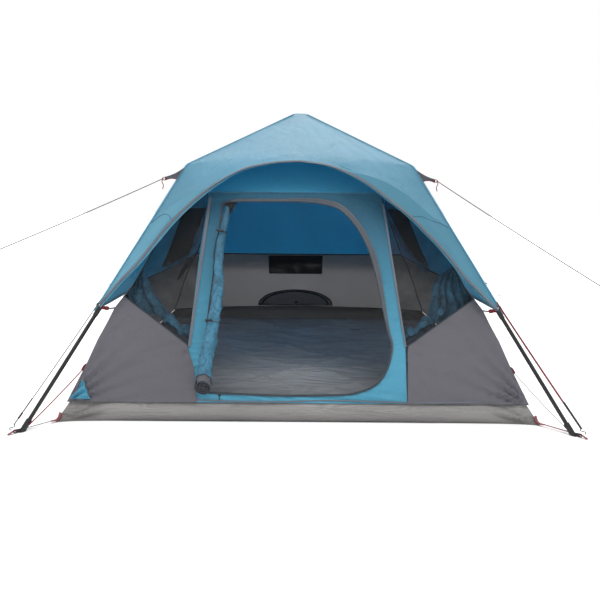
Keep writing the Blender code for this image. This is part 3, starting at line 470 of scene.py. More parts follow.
def ribbon_mesh(line, across, width, thickness=0.0012):
    """A flat closed band along a line. across holds the direction of its width at each point.
    Its UVs run in metres along it, and from -1 to 1 over its width."""
    widths = width if isinstance(width, list) else [width] * len(line)
    bm = bmesh.new()
    uv = bm.loops.layers.uv.new("UVMap")
    along = [0.0]
    for a, b in zip(line, line[1:]):
        along.append(along[-1] + (b - a).length)
    rings = []
    for i, (p, w, a) in enumerate(zip(line, widths, across)):
        t = (line[min(i + 1, len(line) - 1)] - line[max(i - 1, 0)]).normalized()
        side = (a - t * a.dot(t)).normalized()
        face_out = t.cross(side).normalized() * (thickness / 2)
        half = side * (w / 2)
        rings.append([bm.verts.new(p + q) for q in (half + face_out, -half + face_out, -half - face_out,
                                                    half - face_out)])
    sides = (1, -1, -1, 1)
    for i in range(len(rings) - 1):
        for k in range(4):
            m = (k + 1) % 4
            face = bm.faces.new((rings[i][k], rings[i][m], rings[i + 1][m], rings[i + 1][k]))
            for loop, place in zip(face.loops, ((along[i], sides[k]), (along[i], sides[m]),
                                                (along[i + 1], sides[m]), (along[i + 1], sides[k]))):
                loop[uv].uv = place
    bm.faces.new(rings[0][::-1])
    bm.faces.new(rings[-1])
    bmesh.ops.recalc_face_normals(bm, faces=bm.faces[:])
    mesh = bpy.data.meshes.new("ribbon")
    bm.to_mesh(mesh)
    bm.free()
    mesh.shade_smooth()
    mesh.set_sharp_from_angle(angle=math.radians(40))
    return mesh


def merged(meshes):
    """One mesh that holds all the given ones."""
    bm = bmesh.new()
    for m in meshes:
        bm.from_mesh(m)
        bpy.data.meshes.remove(m)
    mesh = bpy.data.meshes.new("merged")
    bm.to_mesh(mesh)
    bm.free()
    mesh.shade_smooth()
    mesh.set_sharp_from_angle(angle=math.radians(40))
    return mesh


def band(name, line, across, width, material, slot, thickness=0.0012, **more):
    """A ribbon piece."""
    across = [Vector(across)] * len(line) if not isinstance(across, list) else across
    return finish_piece(name, ribbon_mesh(line, across, width, thickness), material, slot, **more)


# ---------------------------------------------------------------- the fly's surface
ARCH_LEFT = [(0, 1.295), (0.15, 1.286), (0.31, 1.251), (0.45, 1.176), (0.565, 1.087), (0.655, 0.999),
             (0.71, 0.935), (0.775, 0.848), (0.845, 0.757), (0.92, 0.673), (0.992, 0.585), (HEM_HALF, HEM)]
ARCH_RIGHT = [(0, 1.295), (0.16, 1.272), (0.30, 1.218), (0.405, 1.153), (0.518, 1.064), (0.60, 0.996),
              (0.675, 0.919), (0.75, 0.840), (0.86, 0.702), (0.92, 0.642), (0.978, 0.578), (HEM_HALF, HEM)]


def arch_depth(z):
    """How far the arch's edge stands ahead of the Z axis at a height."""
    return mix(HEM_HALF, -CROWN[0], (z - HEM) / (CROWN[1] - HEM))


def arch_line(side):
    """201 points of the arch's edge from its crown to a hem corner."""
    pairs = ARCH_LEFT if side < 0 else ARCH_RIGHT
    return spline([(side * x, -arch_depth(z), z) for x, z in pairs], 201)


ARCHES = {side: arch_line(side) for side in (-1, 1)}
FOLD_END = 0.56                    # how far up the corner the brim's fold meets it
FOLD = {   # (place on the arch from its crown, share of the way from the arch to the eave) of the brim's fold
    -1: [(0, 0), (0.28, 0), (0.40, 0.13), (0.50, 0.35), (0.60, 0.49), (0.745, 0.56), (0.88, 0.58), (1, FOLD_END)],
    1: [(0, 0), (0.13, 0), (0.20, 0.11), (0.30, 0.34), (0.40, 0.50), (0.50, 0.555), (0.62, 0.55), (0.76, 0.51),
        (1, FOLD_END)],
}


def on_arch(u):
    """A point of the arch's edge: u is -1 at the left hem corner, 0 at the crown, 1 at the right."""
    place = min(1.0, abs(u)) * 200
    line = ARCHES[-1 if u < 0 else 1]
    k = min(199, int(place))
    return line[k].lerp(line[k + 1], place - k)


def eave_point(side, u):
    """A point of the fly's turn from roof to side, between two shoulders. Side 0 is the front."""
    if side == 0:
        e = math.copysign(abs(u) ** 0.85, u)
        swell = 1 - e * e
        return Vector((SHOULDER_HALF * e, -(SHOULDER_HALF + 0.025 * swell), SHOULDER_HEIGHT + 0.052 * swell))
    sag = 1 - u * u
    point = Vector((SHOULDER_HALF * u, -(SHOULDER_HALF - 0.010 * sag), SHOULDER_HEIGHT - 0.012 * sag))
    return Matrix.Rotation(math.pi / 2 * side, 3, "Z") @ point


def hem_point(side, u):
    """A point of the fly's lower edge on a full side, which rises between the corners."""
    lift = 1 - u * u
    point = Vector((HEM_HALF * u, -(HEM_HALF - 0.020 * lift - 0.54 * 0.020 * lift), HEM + 0.020 * lift))
    return Matrix.Rotation(math.pi / 2 * side, 3, "Z") @ point


FOLD_CURVES = {side: [(p.x, p.y) for p in spline([(*pair, 0) for pair in pairs], 121)]
               for side, pairs in FOLD.items()}


def fold_share(u):
    """How far from the arch's edge towards the eave the brim's fold lies."""
    return max(0.0, table(FOLD_CURVES[-1 if u < 0 else 1], abs(u)))


def profile(side, u):
    """The corner points of the fly's section at u: top, eave, fold and edge."""
    top = Matrix.Rotation(math.pi / 2 * side, 3, "Z") @ Vector((TOP_HALF * u, -TOP_HALF, TOP_HEIGHT))
    eave = eave_point(side, u)
    if side:
        edge = hem_point(side, u)
        return top, eave, eave.lerp(edge, 1 - FOLD_END), edge
    edge = on_arch(u)
    share = fold_share(u)
    fold = edge.lerp(eave, share)
    out = Vector((math.copysign(0.45, u), -0.75, 0.35)).normalized()
    reach = ease(share / 0.45) * ease((1 - abs(u)) / 0.30)
    return top, eave, fold + 0.022 * reach * out, edge


def fly_point(side, u, v):
    """A point of the fly: v is 0 at the top, 1 at the eave, 2 at the fold and 3 at the lower edge."""
    top, eave, fold, edge = profile(side, u)
    soft = mix(0.11, 0.018, abs(u) ** 3) if side == 0 else mix(0.05, 0.018, abs(u) ** 3)
    up, down = (top - eave), (fold - eave)
    soft_up, soft_down = min(soft / up.length, 0.5), min(soft / max(1e-6, down.length), 0.5)
    if v < 0.9:
        point = top.lerp(eave + up * soft_up, v / 0.9)
    elif v < 1.1:
        t = (v - 0.9) / 0.2
        a, b = eave + up * soft_up, eave + down * soft_down
        point = a * (1 - t) ** 2 + eave * 2 * t * (1 - t) + b * t ** 2
    elif v < 2:
        point = (eave + down * soft_down).lerp(fold, (v - 1.1) / 0.9)
    else:
        point = fold.lerp(edge, v - 2)
    turn = Matrix.Rotation(math.pi / 2 * side, 3, "Z")
    inward = turn @ Vector((0, 0.55, -0.83))
    slack = 1 - u * u
    if v < 1:
        depth = 0.018 if side else 0.006
        point = point + inward * depth * math.sin(math.pi * v) * slack
    elif side:
        point = point + (turn @ Vector((0, 0.9, -0.3))) * 0.022 * math.sin(math.pi * (v - 1) / 2) * slack
    near = min(1.0, (1 - abs(u)) / 0.10)
    ripple = 0.0045 * rough(point, 2.6, 3.1) + 0.0022 * rough(point, 7.0, 9.2)
    pull = 0.0
    if v > 1:
        pull = 0.0030 * math.sin(16 * (v - 1) + 5 * abs(u)) * ease((abs(u) - 0.45) / 0.5)
    rays = 0.0040 * rough((6.5 * u, 0.7 * min(v, 1.6), 3 * side), 1.0, 5.0) * ease(v / 0.5)
    return point - (turn @ Vector((0, 0.75, -0.6))) * (ripple + pull + rays) * near


FLY_LEVELS = ([0.9 * i / 12 for i in range(12)] + [0.9 + 0.2 * i / 6 for i in range(6)]
              + [1.1 + 0.9 * i / 12 for i in range(12)] + [2 + i / 8 for i in range(9)])


def make_fly():
    """Roof, three sides and the front brim as one curved sheet, with a separate darker strip under the brim."""
    columns = []
    for side, count in ((0, 72), (1, 36), (2, 36), (3, 36)):
        for k in range(count):
            columns.append((side, -1 + 2 * k / count))
    columns.append((0, -1.0))
    rows = [[fly_point(side, u, v) for side, u in columns] for v in FLY_LEVELS]
    fold_row = len(FLY_LEVELS) - 9
    front_columns = 72
    shell = grid(rows, keep=lambda i, j: not (i >= fold_row and j < front_columns))
    ring = [v for v in shell.verts if v.is_boundary and v.co.z > TOP_HEIGHT - 0.02]
    ring.sort(key=lambda v: math.atan2(v.co.y, v.co.x))
    for share, rise in ((0.70, 0.0072), (0.35, 0.0104)):
        smaller = [shell.verts.new((share * v.co.x, share * v.co.y, TOP_HEIGHT + rise)) for v in ring]
        for k in range(len(ring)):
            after = (k + 1) % len(ring)
            shell.faces.new((ring[k], ring[after], smaller[after], smaller[k]))
        ring = smaller
    shell.faces.new(ring)
    bmesh.ops.recalc_face_normals(shell, faces=shell.faces[:])
    fly = finish_piece("fly_canopy", thickened(shell, 0.0012, 42), FLY, "fly_blue", stands_for=["fly"])
    strip = grid([row[:front_columns + 1] for row in rows[fold_row:]])
    bmesh.ops.dissolve_degenerate(strip, dist=1e-5, edges=strip.edges[:])
    bmesh.ops.recalc_face_normals(strip, faces=strip.faces[:])
    under = finish_piece("fly_brim_strip", thickened(strip, 0.0012, 42), FLY_STRIP, "fly_blue")


def fly_out(side, u, v):
    """The fly's outward normal at a point."""
    step = 0.01
    du = fly_point(side, min(1, u + step), v) - fly_point(side, max(-1, u - step), v)
    dv = fly_point(side, u, min(3, v + step)) - fly_point(side, u, max(0, v - step))
    normal = dv.cross(du)
    if normal.length < 1e-9:
        return Vector((0, 0, 1))
    normal.normalize()
    outward = Matrix.Rotation(math.pi / 2 * side, 3, "Z") @ Vector((0, -1, 0.6))
    return normal if normal.dot(outward) > 0 else -normal


def make_fly_trim():
    """Grey binding on the arch, blue hem tapes, felled seams over arms and legs, and the cross seam of the cheeks."""
    count = 121
    places = [-1 + 2 * i / (count - 1) for i in range(count)]
    edge = [fly_point(0, u, 3) for u in places]
    inner = [fly_point(0, u, 2.9) if fold_share(u) > 0.03 else fly_point(0, u, 2 - 0.05) for u in places]
    across = [(b - a).normalized() for a, b in zip(edge, inner)]
    line = [e + a * 0.004 for e, a in zip(edge, across)]
    band("fly_arch_binding", line, across, 0.011, GREY_TAPE, "wall_grey", thickness=0.0040)
    under = [e + a * 0.028 + Vector((0, 0.004, -0.004)) for e, a in zip(edge, across)]
    band("fly_arch_facing", under, across, 0.034, FLY_STRIP, "fly_blue", thickness=0.0012)
    for side, label in ((1, "right"), (2, "rear"), (3, "left")):
        hem = [fly_point(side, -1 + 2 * i / 48, 3) for i in range(49)]
        up = [(fly_point(side, -1 + 2 * i / 48, 2.9) - h).normalized() for i, h in enumerate(hem)]
        band(f"fly_hem_{label}", [h + a * 0.009 for h, a in zip(hem, up)], up, 0.022, SEAM_TAPE, "fly_blue",
             thickness=0.0030)
    for side, label in ((0, "front_right"), (1, "rear_right"), (2, "rear_left"), (3, "front_left")):
        places = [3 * i / 90 for i in range(91)]
        seam = [fly_point(side, 1, v) for v in places]
        azimuth = math.radians(45 + 90 * (side - 1))
        out = Vector((math.cos(azimuth), math.sin(azimuth), 0.8)).normalized()
        side_way = Vector((-math.sin(azimuth), math.cos(azimuth), 0))
        band(f"fly_corner_seam_{label}", [p + out * 0.0022 for p in seam], side_way, 0.012, SEAM_TAPE, "fly_blue",
             thickness=0.0016)
    for label, sign, near in (("left", -1, 0.56), ("right", 1, 0.50)):
        line, across = [], []
        for i in range(31):
            t = i / 30
            u = sign * mix(near, 0.97, t)
            v = 2.02 + 0.96 * (1 - t) ** 2.2
            line.append(fly_point(0, u, v) + fly_out(0, u, v) * 0.0012)
            across.append(Vector((0, 0.3, 1)))
        band(f"fly_cheek_seam_{label}", line, across, 0.0035, DOOR_BLUE, "fly_blue", thickness=0.0008)


# ---------------------------------------------------------------- the inner tent
def corner_half(z):
    """Half of the inner tent's width at a height, measured at its corners."""
    return table(CORNER, z)


def wall_point(azimuth, x, z, lean_in=0.020):
    """A point of a side or rear wall. x runs along it; the cloth leans in a little between the corners."""
    w = corner_half(z)
    share = min(1.0, abs(x) / w)
    sag = lean_in * (1 - share ** 2) * math.sin(math.pi * min(1.0, max(0.0, (z - SILL_TOP) / (EAVE - SILL_TOP))))
    ripple = 0.004 * rough((x, azimuth * 0.01, z), 4.0, 5.5) + 0.002 * rough((x, azimuth * 0.01, z), 11.0, 2.5)
    edge = ease((1 - share) / 0.12) * ease((z - SILL_TOP) / 0.05) * ease((EAVE - z) / 0.05)
    return Matrix.Rotation(math.radians(azimuth), 3, "Z") @ Vector((x, -(w - sag + ripple * edge), z))


def levels(marks, step):
    """Heights or places from mark to mark in steps no longer than step."""
    found = [marks[0]]
    for a, b in zip(marks, marks[1:]):
        n = max(1, math.ceil((b - a) / step - 1e-6))
        found += [mix(a, b, i / n) for i in range(1, n + 1)]
    return found


def make_wall(label, azimuth, low, high, window, seam_cut):
    """One wall in a grey lower and a blue upper piece with its mesh window.
    window(z) gives the two ends of the window hole at a height, from height low to high."""
    marks = sorted({SILL_TOP, low, high, seam_cut, EAVE - 0.002})
    heights = levels(marks, 0.045)
    shares = levels([0, 1, 2, 3], 1 / 10)
    rows = []
    for z in heights:
        w = corner_half(z) - 0.0005
        first, last = window(min(high, max(low, z)))
        stops = [-w, first, last, w]
        rows.append([wall_point(azimuth, mix(stops[min(2, int(s))], stops[min(2, int(s)) + 1], s - min(2, int(s))), z)
                     for s in shares])

    def in_window(i, j):
        middle = (heights[i] + heights[i + 1]) / 2
        return low < middle < high and 1 <= (shares[j] + shares[j + 1]) / 2 <= 2

    def is_low(i):
        return (heights[i] + heights[i + 1]) / 2 < seam_cut

    pieces = {
        f"{label}_wall_lower": (lambda i, j: is_low(i) and not in_window(i, j), WALL_GREY, "wall_grey",
                                [f"{label}_wall"]),
        f"{label}_wall_upper": (lambda i, j: not is_low(i) and not in_window(i, j), BLUE, "wall_blue", []),
        f"{label}_window_net": (in_window, NET, "mesh_black", [f"{label}_window_mesh"]),
    }
    for name, (keep, material, slot, nodes) in pieces.items():
        made = finish_piece(name, thickened(grid(rows, keep), 0.0008), material, slot, stands_for=nodes)
    w = corner_half(seam_cut) - 0.006
    line = [wall_point(azimuth, mix(-w, w, i / 40), seam_cut) for i in range(41)]
    inward = Matrix.Rotation(math.radians(azimuth), 3, "Z") @ Vector((0, 1, 0))
    band(f"{label}_wall_seam", [p + inward * 0.002 for p in line], (0, 0, 1), 0.010, DARK_TAPE, "mesh_black")
    outline = []
    for z in levels([low, high], 0.04):
        outline.append(wall_point(azimuth, window(z)[0], z))
    first, last = window(high)
    outline += [wall_point(azimuth, mix(first, last, i / 10), high) for i in range(1, 11)]
    for z in reversed(levels([low, high], 0.04)):
        outline.append(wall_point(azimuth, window(z)[1], z))
    first, last = window(low)
    outline += [wall_point(azimuth, mix(last, first, i / 10), low) for i in range(1, 11)]
    inward = Matrix.Rotation(math.radians(azimuth), 3, "Z") @ Vector((0, 0.0025, 0))
    rim = tube_mesh([p + inward for p in outline], 0.004, 6)
    finish_piece(f"{label}_window_binding", rim, DARK_TAPE, "mesh_black")


def left_window(z):
    """Ends of the left wall's window along the wall; x there runs from the rear (-) to the front (+)."""
    t = (z - 0.68) / (1.03 - 0.68)
    return -mix(0.34, 0.33, t), mix(0.40, 0.42, t)


def right_window(z):
    """Ends of the right wall's window; x there runs from the front (-) to the rear (+)."""
    t = (z - 0.68) / (1.03 - 0.68)
    return mix(-0.21, -0.10, t), mix(0.22, 0.62, t)


def rear_window(_):
    return -0.20, 0.26


def make_walls():
    make_wall("left", 270, 0.68, 1.03, left_window, SEAM)
    make_wall("right", 90, 0.68, 1.03, right_window, SEAM)
    make_wall("rear", 180, 0.46, 0.625, rear_window, SEAM)
    for label, x, y in (("front_left", -1, -1), ("front_right", 1, -1), ("rear_left", -1, 1), ("rear_right", 1, 1)):
        heights = levels([0.585 if y < 0 else 0.10, EAVE], 0.03)
        line = [Vector((x * (corner_half(z) - 0.006), y * (corner_half(z) - 0.006), z)) for z in heights]
        finish_piece(f"corner_seam_{label}", tube_mesh(line, 0.005, 6), DARK_TAPE, "mesh_black")


def front_base(x, z):
    """A point of the front wall; its corners are pulled out a little towards the legs."""
    flat = 1.155 - FRONT_SLOPE * (z - SILL_TOP)
    w = corner_half(z)
    pulled = mix(flat, w, min(1.0, abs(x) / w) ** 6)
    return Vector((x, -pulled, z))


def front_point(x, z, proud=0.0, waves=0.0035):
    """A point of the front wall's cloth with its slack, proud of the wall by so much."""
    point = front_base(x, z)
    wave = waves * rough((x, 0, z), 3.5, 7.7) + 0.5 * waves * rough((1.5 * x, 0, z), 10.0, 1.2)
    return point + FRONT_OUT * (proud + wave)


DOOR = [  # (outer x, outer z, inner x, inner z) round the door frame, from the lower left corner, anticlockwise
    (-0.550, 0.0915, -0.448, 0.137), (-0.10, 0.0915, -0.10, 0.128), (0.20, 0.0915, 0.205, 0.132),
    (0.38, 0.0915, 0.310, 0.147), (0.545, 0.0915, 0.390, 0.180), (0.545, 0.17, 0.441, 0.240),
    (0.546, 0.28, 0.470, 0.315), (0.548, 0.360, 0.474, 0.370), (0.533, 0.43, 0.455, 0.440),
    (0.509, 0.626, 0.419, 0.626), (0.493, 0.76, 0.390, 0.767), (0.482, 0.86, 0.358, 0.858),
    (0.471, 0.95, 0.303, 0.953), (0.462, 1.05, 0.222, 1.035), (0.455, 1.1285, 0.125, 1.066),
    (0.20, 1.1285, 0.0, 1.078), (-0.15, 1.1285, -0.20, 1.078), (-0.40, 1.1285, -0.36, 1.076),
    (-0.498, 1.1285, -0.424, 1.063), (-0.513, 1.05, -0.424, 1.030), (-0.536, 0.82, -0.440, 0.82),
    (-0.552, 0.57, -0.462, 0.57), (-0.567, 0.36, -0.474, 0.36), (-0.565, 0.25, -0.470, 0.22),
    (-0.550, 0.0915, -0.448, 0.137),
]


def door_loops(count=480):
    """Matched points of the frame's outer edge and of the door opening."""
    outer = []
    per = count // (len(DOOR) - 1)
    for a, b in zip(DOOR, DOOR[1:]):
        for i in range(per):
            t = i / per
            outer.append((mix(a[0], b[0], t), mix(a[1], b[1], t)))
    smooth = spline([(d[2], 0, d[3]) for d in DOOR], (len(DOOR) - 1) * per + 1)
    inner = [(p.x, p.z) for p in smooth[:-1]]
    return outer, inner


def panel_tug(x, z, inner_x):
    """How far the pulls at a grey panel's three corners push its cloth out at a point."""
    corner_pull = math.exp(-4.5 * math.hypot(corner_half(0.53) - x, z - 0.53))
    floor_pull = math.exp(-4.0 * math.hypot(1.155 - x, z - SILL_TOP))
    strip_pull = math.exp(-9.0 * math.hypot(x - inner_x, z - 0.34))
    fan = math.atan2(z - 0.53, corner_half(0.53) - x + 0.02)
    fan_low = math.atan2(z - 0.06, 1.2 - x)
    return (0.0040 * math.sin(24 * fan) * corner_pull + 0.0150 * math.sin(30 * fan_low + 2) * floor_pull
            + 0.0060 * math.sin(95 * (z + 0.25 * x) + 2 * rough((x, 1, z), 7, 2)) * strip_pull)


def make_front():
    """The blue door frame with its bands and zip, and the two grey side panels."""
    outer, inner = door_loops()
    rows = []
    for i in range(9):
        t = i / 8
        row = []
        for (xo, zo), (xi, zi) in zip(outer, inner):
            x, z = mix(xo, xi, t), mix(zo, zi, t)
            low = ease((0.30 - z) / 0.2)
            tug = 0.0035 * math.sin(150 * (z + 0.25 * x) + 4 * rough((x, 0, z), 6, 3)) * low * math.sin(math.pi * t)
            pucker = ease((0.95 - z) / 0.3) * ease((z - 0.15) / 0.1) * (1.0 if x < -0.4 else 0.45) * (abs(x) > 0.4)
            gathers = math.sin(205 * z + 9 * rough((x, 2, z), 9, 6))
            tug += 0.0024 * gathers * pucker * math.sin(math.pi * (0.15 + 0.7 * t))
            row.append(front_point(x, z, tug))
        rows.append(row + row[:1])
    bm = grid(rows)
    made = finish_piece("door_frame_cloth", thickened(bm, 0.0010), DOOR_BLUE, "wall_blue",
                        stands_for=["door_frame_panel"])

    for label, side in (("left", -1), ("right", 1)):
        rows = []
        for i in range(33):
            t = i / 32
            outer_z = mix(0.0915, 0.583, t)
            inner_x = table([(0, 0.503), (0.6, 0.530), (1, 0.572)], t) if side < 0 else mix(0.546, 0.560, t)
            inner_z = mix(0.0915, 0.350, t)
            outer_x = corner_half(outer_z) - 0.003
            row = []
            for j in range(41):
                s = j / 40
                x = mix(outer_x, inner_x, s)
                z = mix(outer_z, inner_z, s)
                damp = min(1.0, min(s, 1 - s) * 14 + 0.15)
                row.append(front_point(side * x, z, 0.0065 + panel_tug(x, z, inner_x) * damp))
            rows.append(row)
        panel = finish_piece(f"front_panel_cloth_{label}", thickened(grid(rows), 0.0010), GREY, "wall_grey",
                             stands_for=[f"front_panel_{label}"])
        edge = [p + Vector((0, 0.002, 0.002)) for p in rows[-1]]
        band(f"front_panel_binding_{label}", edge, (0, 0.2, 1), 0.008, DARK_TAPE, "mesh_black", thickness=0.003)

    left, top, right = (1.132, 0.102), (1.078, 0.188), (1.034, 0.102)
    rows = []
    for t in (i / 12 for i in range(13)):
        row = []
        for share in (i / 12 for i in range(13)):
            x, z = (mix(mix(left[k], right[k], share), top[k], t) for k in (0, 1))
            row.append(front_point(-x, z, 0.0190 + panel_tug(x, z, 0.503)))
        rows.append(row)
    finish_piece("corner_patch", thickened(grid(rows), 0.0008), DOOR_BLUE, "wall_blue")

    count = len(inner)
    line = [front_point(x, z, 0.0035) for x, z in inner]
    centre = Vector((0, front_base(0, 0.6).y, 0.6))
    out_way = [(p - centre).normalized() for p in line]
    zip_line, zip_way = line + line[:1], out_way + out_way[:1]
    band("door_zip", [p + w * 0.004 for p, w in zip(zip_line, zip_way)], zip_way, 0.011, DARK_TAPE, "mesh_black",
         thickness=0.003)
    per = count // (len(DOOR) - 1)
    first, last = 7 * per, 17 * per
    grey, ways, widths = [], [], []
    for k in range(first, last + 1):
        t = (k - first) / (last - first)
        width = mix(0.006, 0.028, ease(t / 0.35)) * mix(1.0, 0.48, ease((t - 0.60) / 0.22))
        grey.append(line[k] + out_way[k] * (0.004 + width / 2) + FRONT_OUT * 0.0015)
        ways.append(out_way[k])
        widths.append(width)
    band("door_zip_flap", grey, ways, widths, FLAP_TAPE, "wall_grey", thickness=0.0025)
    left_edge = [front_point(x + 0.006, z, 0.004) for x, z in
                 ((mix(-0.502, -0.567, t), mix(1.10, 0.345, t)) for t in (i / 30 for i in range(31)))]
    band("door_frame_band_left", left_edge, (1, 0, 0), 0.015, GREY_TAPE, "wall_grey", thickness=0.002)
    right_edge = [front_point(x - 0.002, z, 0.004) for x, z in
                  ((mix(0.462, 0.550, t), mix(1.07, 0.352, t)) for t in (i / 30 for i in range(31)))]
    band("door_frame_band_right", right_edge, (1, 0, 0), 0.010, GREY_TAPE, "wall_grey", thickness=0.002)


def make_door_roll():
    """The rolled-up door: a spiral of cloth that hangs from the opening's top corner, tied by two toggles."""
    top, bottom = front_base(-0.396, 1.035) + FRONT_OUT * 0.030, front_base(-0.474, 0.155) + FRONT_OUT * 0.046
    axis = (bottom - top).normalized()
    out = (FRONT_OUT - axis * FRONT_OUT.dot(axis)).normalized()
    side = axis.cross(out)
    radii = [(0, 0.012), (0.06, 0.019), (0.13, 0.018), (0.22, 0.025), (0.45, 0.029), (0.62, 0.032), (0.78, 0.037),
             (0.90, 0.039), (1, 0.040)]
    turns, steps, rows_count = 2.6, 88, 150
    rows, skins = [], []
    for i in range(rows_count + 1):
        t = i / rows_count
        radius = table(radii, t)
        bend = side * 0.010 * math.sin(2.6 * math.pi * t) + out * 0.004 * math.sin(5 * t)
        centre = top.lerp(bottom, t) + bend * ease(t * 4) * ease((1 - t) * 4)
        row = []
        for j in range(steps + 1):
            s = j / steps
            angle = 2 * math.pi * turns * s + 1.1 + 0.9 * math.sin(5.5 * t + 0.6) + 1.4 * t
            r = radius * mix(0.30, 1.0, s)
            knead = (0.22 * rough((math.cos(angle), math.sin(angle), 9 * t), 1.6, 2.0)
                     + 0.34 * abs(rough((1.3 * math.cos(angle), 1.3 * math.sin(angle), 30 * t), 1.3, 6.0))
                     + 0.14 * abs(rough((2 * math.cos(angle), 2 * math.sin(angle), 66 * t), 1.3, 16.0)) - 0.08)
            r *= 1 + knead * ease((s - 0.2) / 0.3) * ease((1 - t) * 25)
            slant = 0.78 * r * math.sin(angle) * ease((t - 0.80) / 0.14)
            row.append(centre + r * (math.cos(angle) * side + math.sin(angle) * out) - axis * slant)
        rows.append(row)
        skins.append((centre, radius))
    hem_row = rows_count - 5
    roll = finish_piece("door_roll_cloth", thickened(grid(rows[:hem_row + 1], welded=0), 0.0009, 60), ROLL_BLUE,
                        "wall_blue", stands_for=["door_roll"])
    end = finish_piece("door_roll_hem", thickened(grid(rows[hem_row:], welded=0), 0.0016, 60), GREY, "wall_grey")
    rim = tube_mesh(rows[-1], 0.0032, 6)
    finish_piece("door_roll_rim", rim, DARK_TAPE, "mesh_black")
    ring = tube_mesh(rows[hem_row][-int(steps / turns):], 0.0035, 6)
    finish_piece("door_roll_hem_piping", ring, DARK_TAPE, "mesh_black")
    free_edge = [row[-1] + (row[-1] - c).normalized() * 0.002 for row, (c, _) in zip(rows, skins)]
    finish_piece("door_roll_zip", tube_mesh(free_edge, 0.0030, 6), DARK_TAPE, "mesh_black")
    second = [row[-10] + (row[-10] - c).normalized() * 0.0015 for row, (c, _) in zip(rows, skins)]
    finish_piece("door_roll_seam", tube_mesh(second, 0.0014, 6), DARK_TAPE, "mesh_black")
    for number, t in enumerate((0.155, 0.66)):
        centre, radius = skins[int(t * rows_count)]
        loop = [centre + axis * 0.004 * math.sin(a) + (radius * 1.09 + 0.002) * (math.cos(a) * side + math.sin(a) * out)
                for a in (2 * math.pi * k / 28 for k in range(29))]
        finish_piece(f"door_tie_{number + 1}", tube_mesh(loop, 0.0024, 6, up=axis), GREY_CORD, "cord_red")
        spot = centre + (radius * 1.12 + 0.006) * (0.35 * side + 0.94 * out)
        bar = [spot + side * x for x in (-0.019, -0.017, -0.008, 0, 0.008, 0.017, 0.019)]
        toggle = tube_mesh(bar, [0.003, 0.0052, 0.0058, 0.0042, 0.0058, 0.0052, 0.003], 10)
        finish_piece(f"door_toggle_{number + 1}", toggle, PLASTIC, "moulding_black")
    gather = []
    for i in range(15):
        t = i / 14
        row = []
        for j in range(19):
            s = j / 18
            a = front_point(mix(-0.418, -0.345, s), mix(1.072, 1.080, s), -0.004)
            b = top.lerp(bottom, 0.10 + 0.03 * s) + side * mix(-0.012, 0.012, s)
            pleat = 0.006 * math.sin(5 * math.pi * s) * math.sin(math.pi * min(1, t * 1.2))
            row.append(a.lerp(b, t) + FRONT_OUT * pleat)
        gather.append(row)
    finish_piece("door_roll_net", thickened(grid(gather), 0.0008), NET, "mesh_black")


def make_roof():
    """The inner roof: four blue slopes that sag between their seams."""
    rows = []
    count = 20
    for i in range(25):
        t = i / 24
        w, z = mix(0.660, 0.050, t), mix(EAVE, 1.530, t)
        row = []
        for side in range(4):
            turn = Matrix.Rotation(math.pi / 2 * side, 3, "Z")
            for k in range(count):
                x = -1 + 2 * k / count
                slack = (1 - x * x) * math.sin(math.pi * t)
                ripple = 0.004 * rough((x * w, side, z), 4.5, 8.8) * ease((1 - abs(x)) / 0.1) * ease(t / 0.1)
                row.append(turn @ Vector((w * x, -w, z - 0.020 * slack + ripple)))
        rows.append(row + row[:1])
    bm = grid(rows)
    top = [v for v in bm.verts if v.co.z > 1.5299]
    top.sort(key=lambda v: math.atan2(v.co.y, v.co.x))
    bm.faces.new(top)
    bmesh.ops.recalc_face_normals(bm, faces=bm.faces[:])
    roof = finish_piece("inner_roof_cloth", thickened(bm, 0.0008), BLUE, "wall_blue", stands_for=["inner_roof"])
    for side, label in ((0, "front"), (1, "right"), (2, "rear"), (3, "left")):
        turn = Matrix.Rotation(math.pi / 2 * side, 3, "Z")
        line = [turn @ Vector((mix(-0.655, 0.655, i / 40), -0.663, EAVE)) for i in range(41)]
        band(f"eave_seam_{label}", line, (0, 0, 1), 0.006, DARK_TAPE if side == 2 else ROLL_BLUE, "wall_blue",
             thickness=0.0015)


def sill_top(side, u):
    """Height of the groundsheet's upturned edge."""
    rise = 1 - u * u
    front = 0.008 if side == 0 else 0.0
    return SILL_TOP + front * min(1.0, 20 * (1 - abs(u))) + (0.002 + 0.004 * math.sin(9 * u + side) * rise if side != 2
                                                             else 0.045 * rise)


FLOOR_EDGE = 1.177


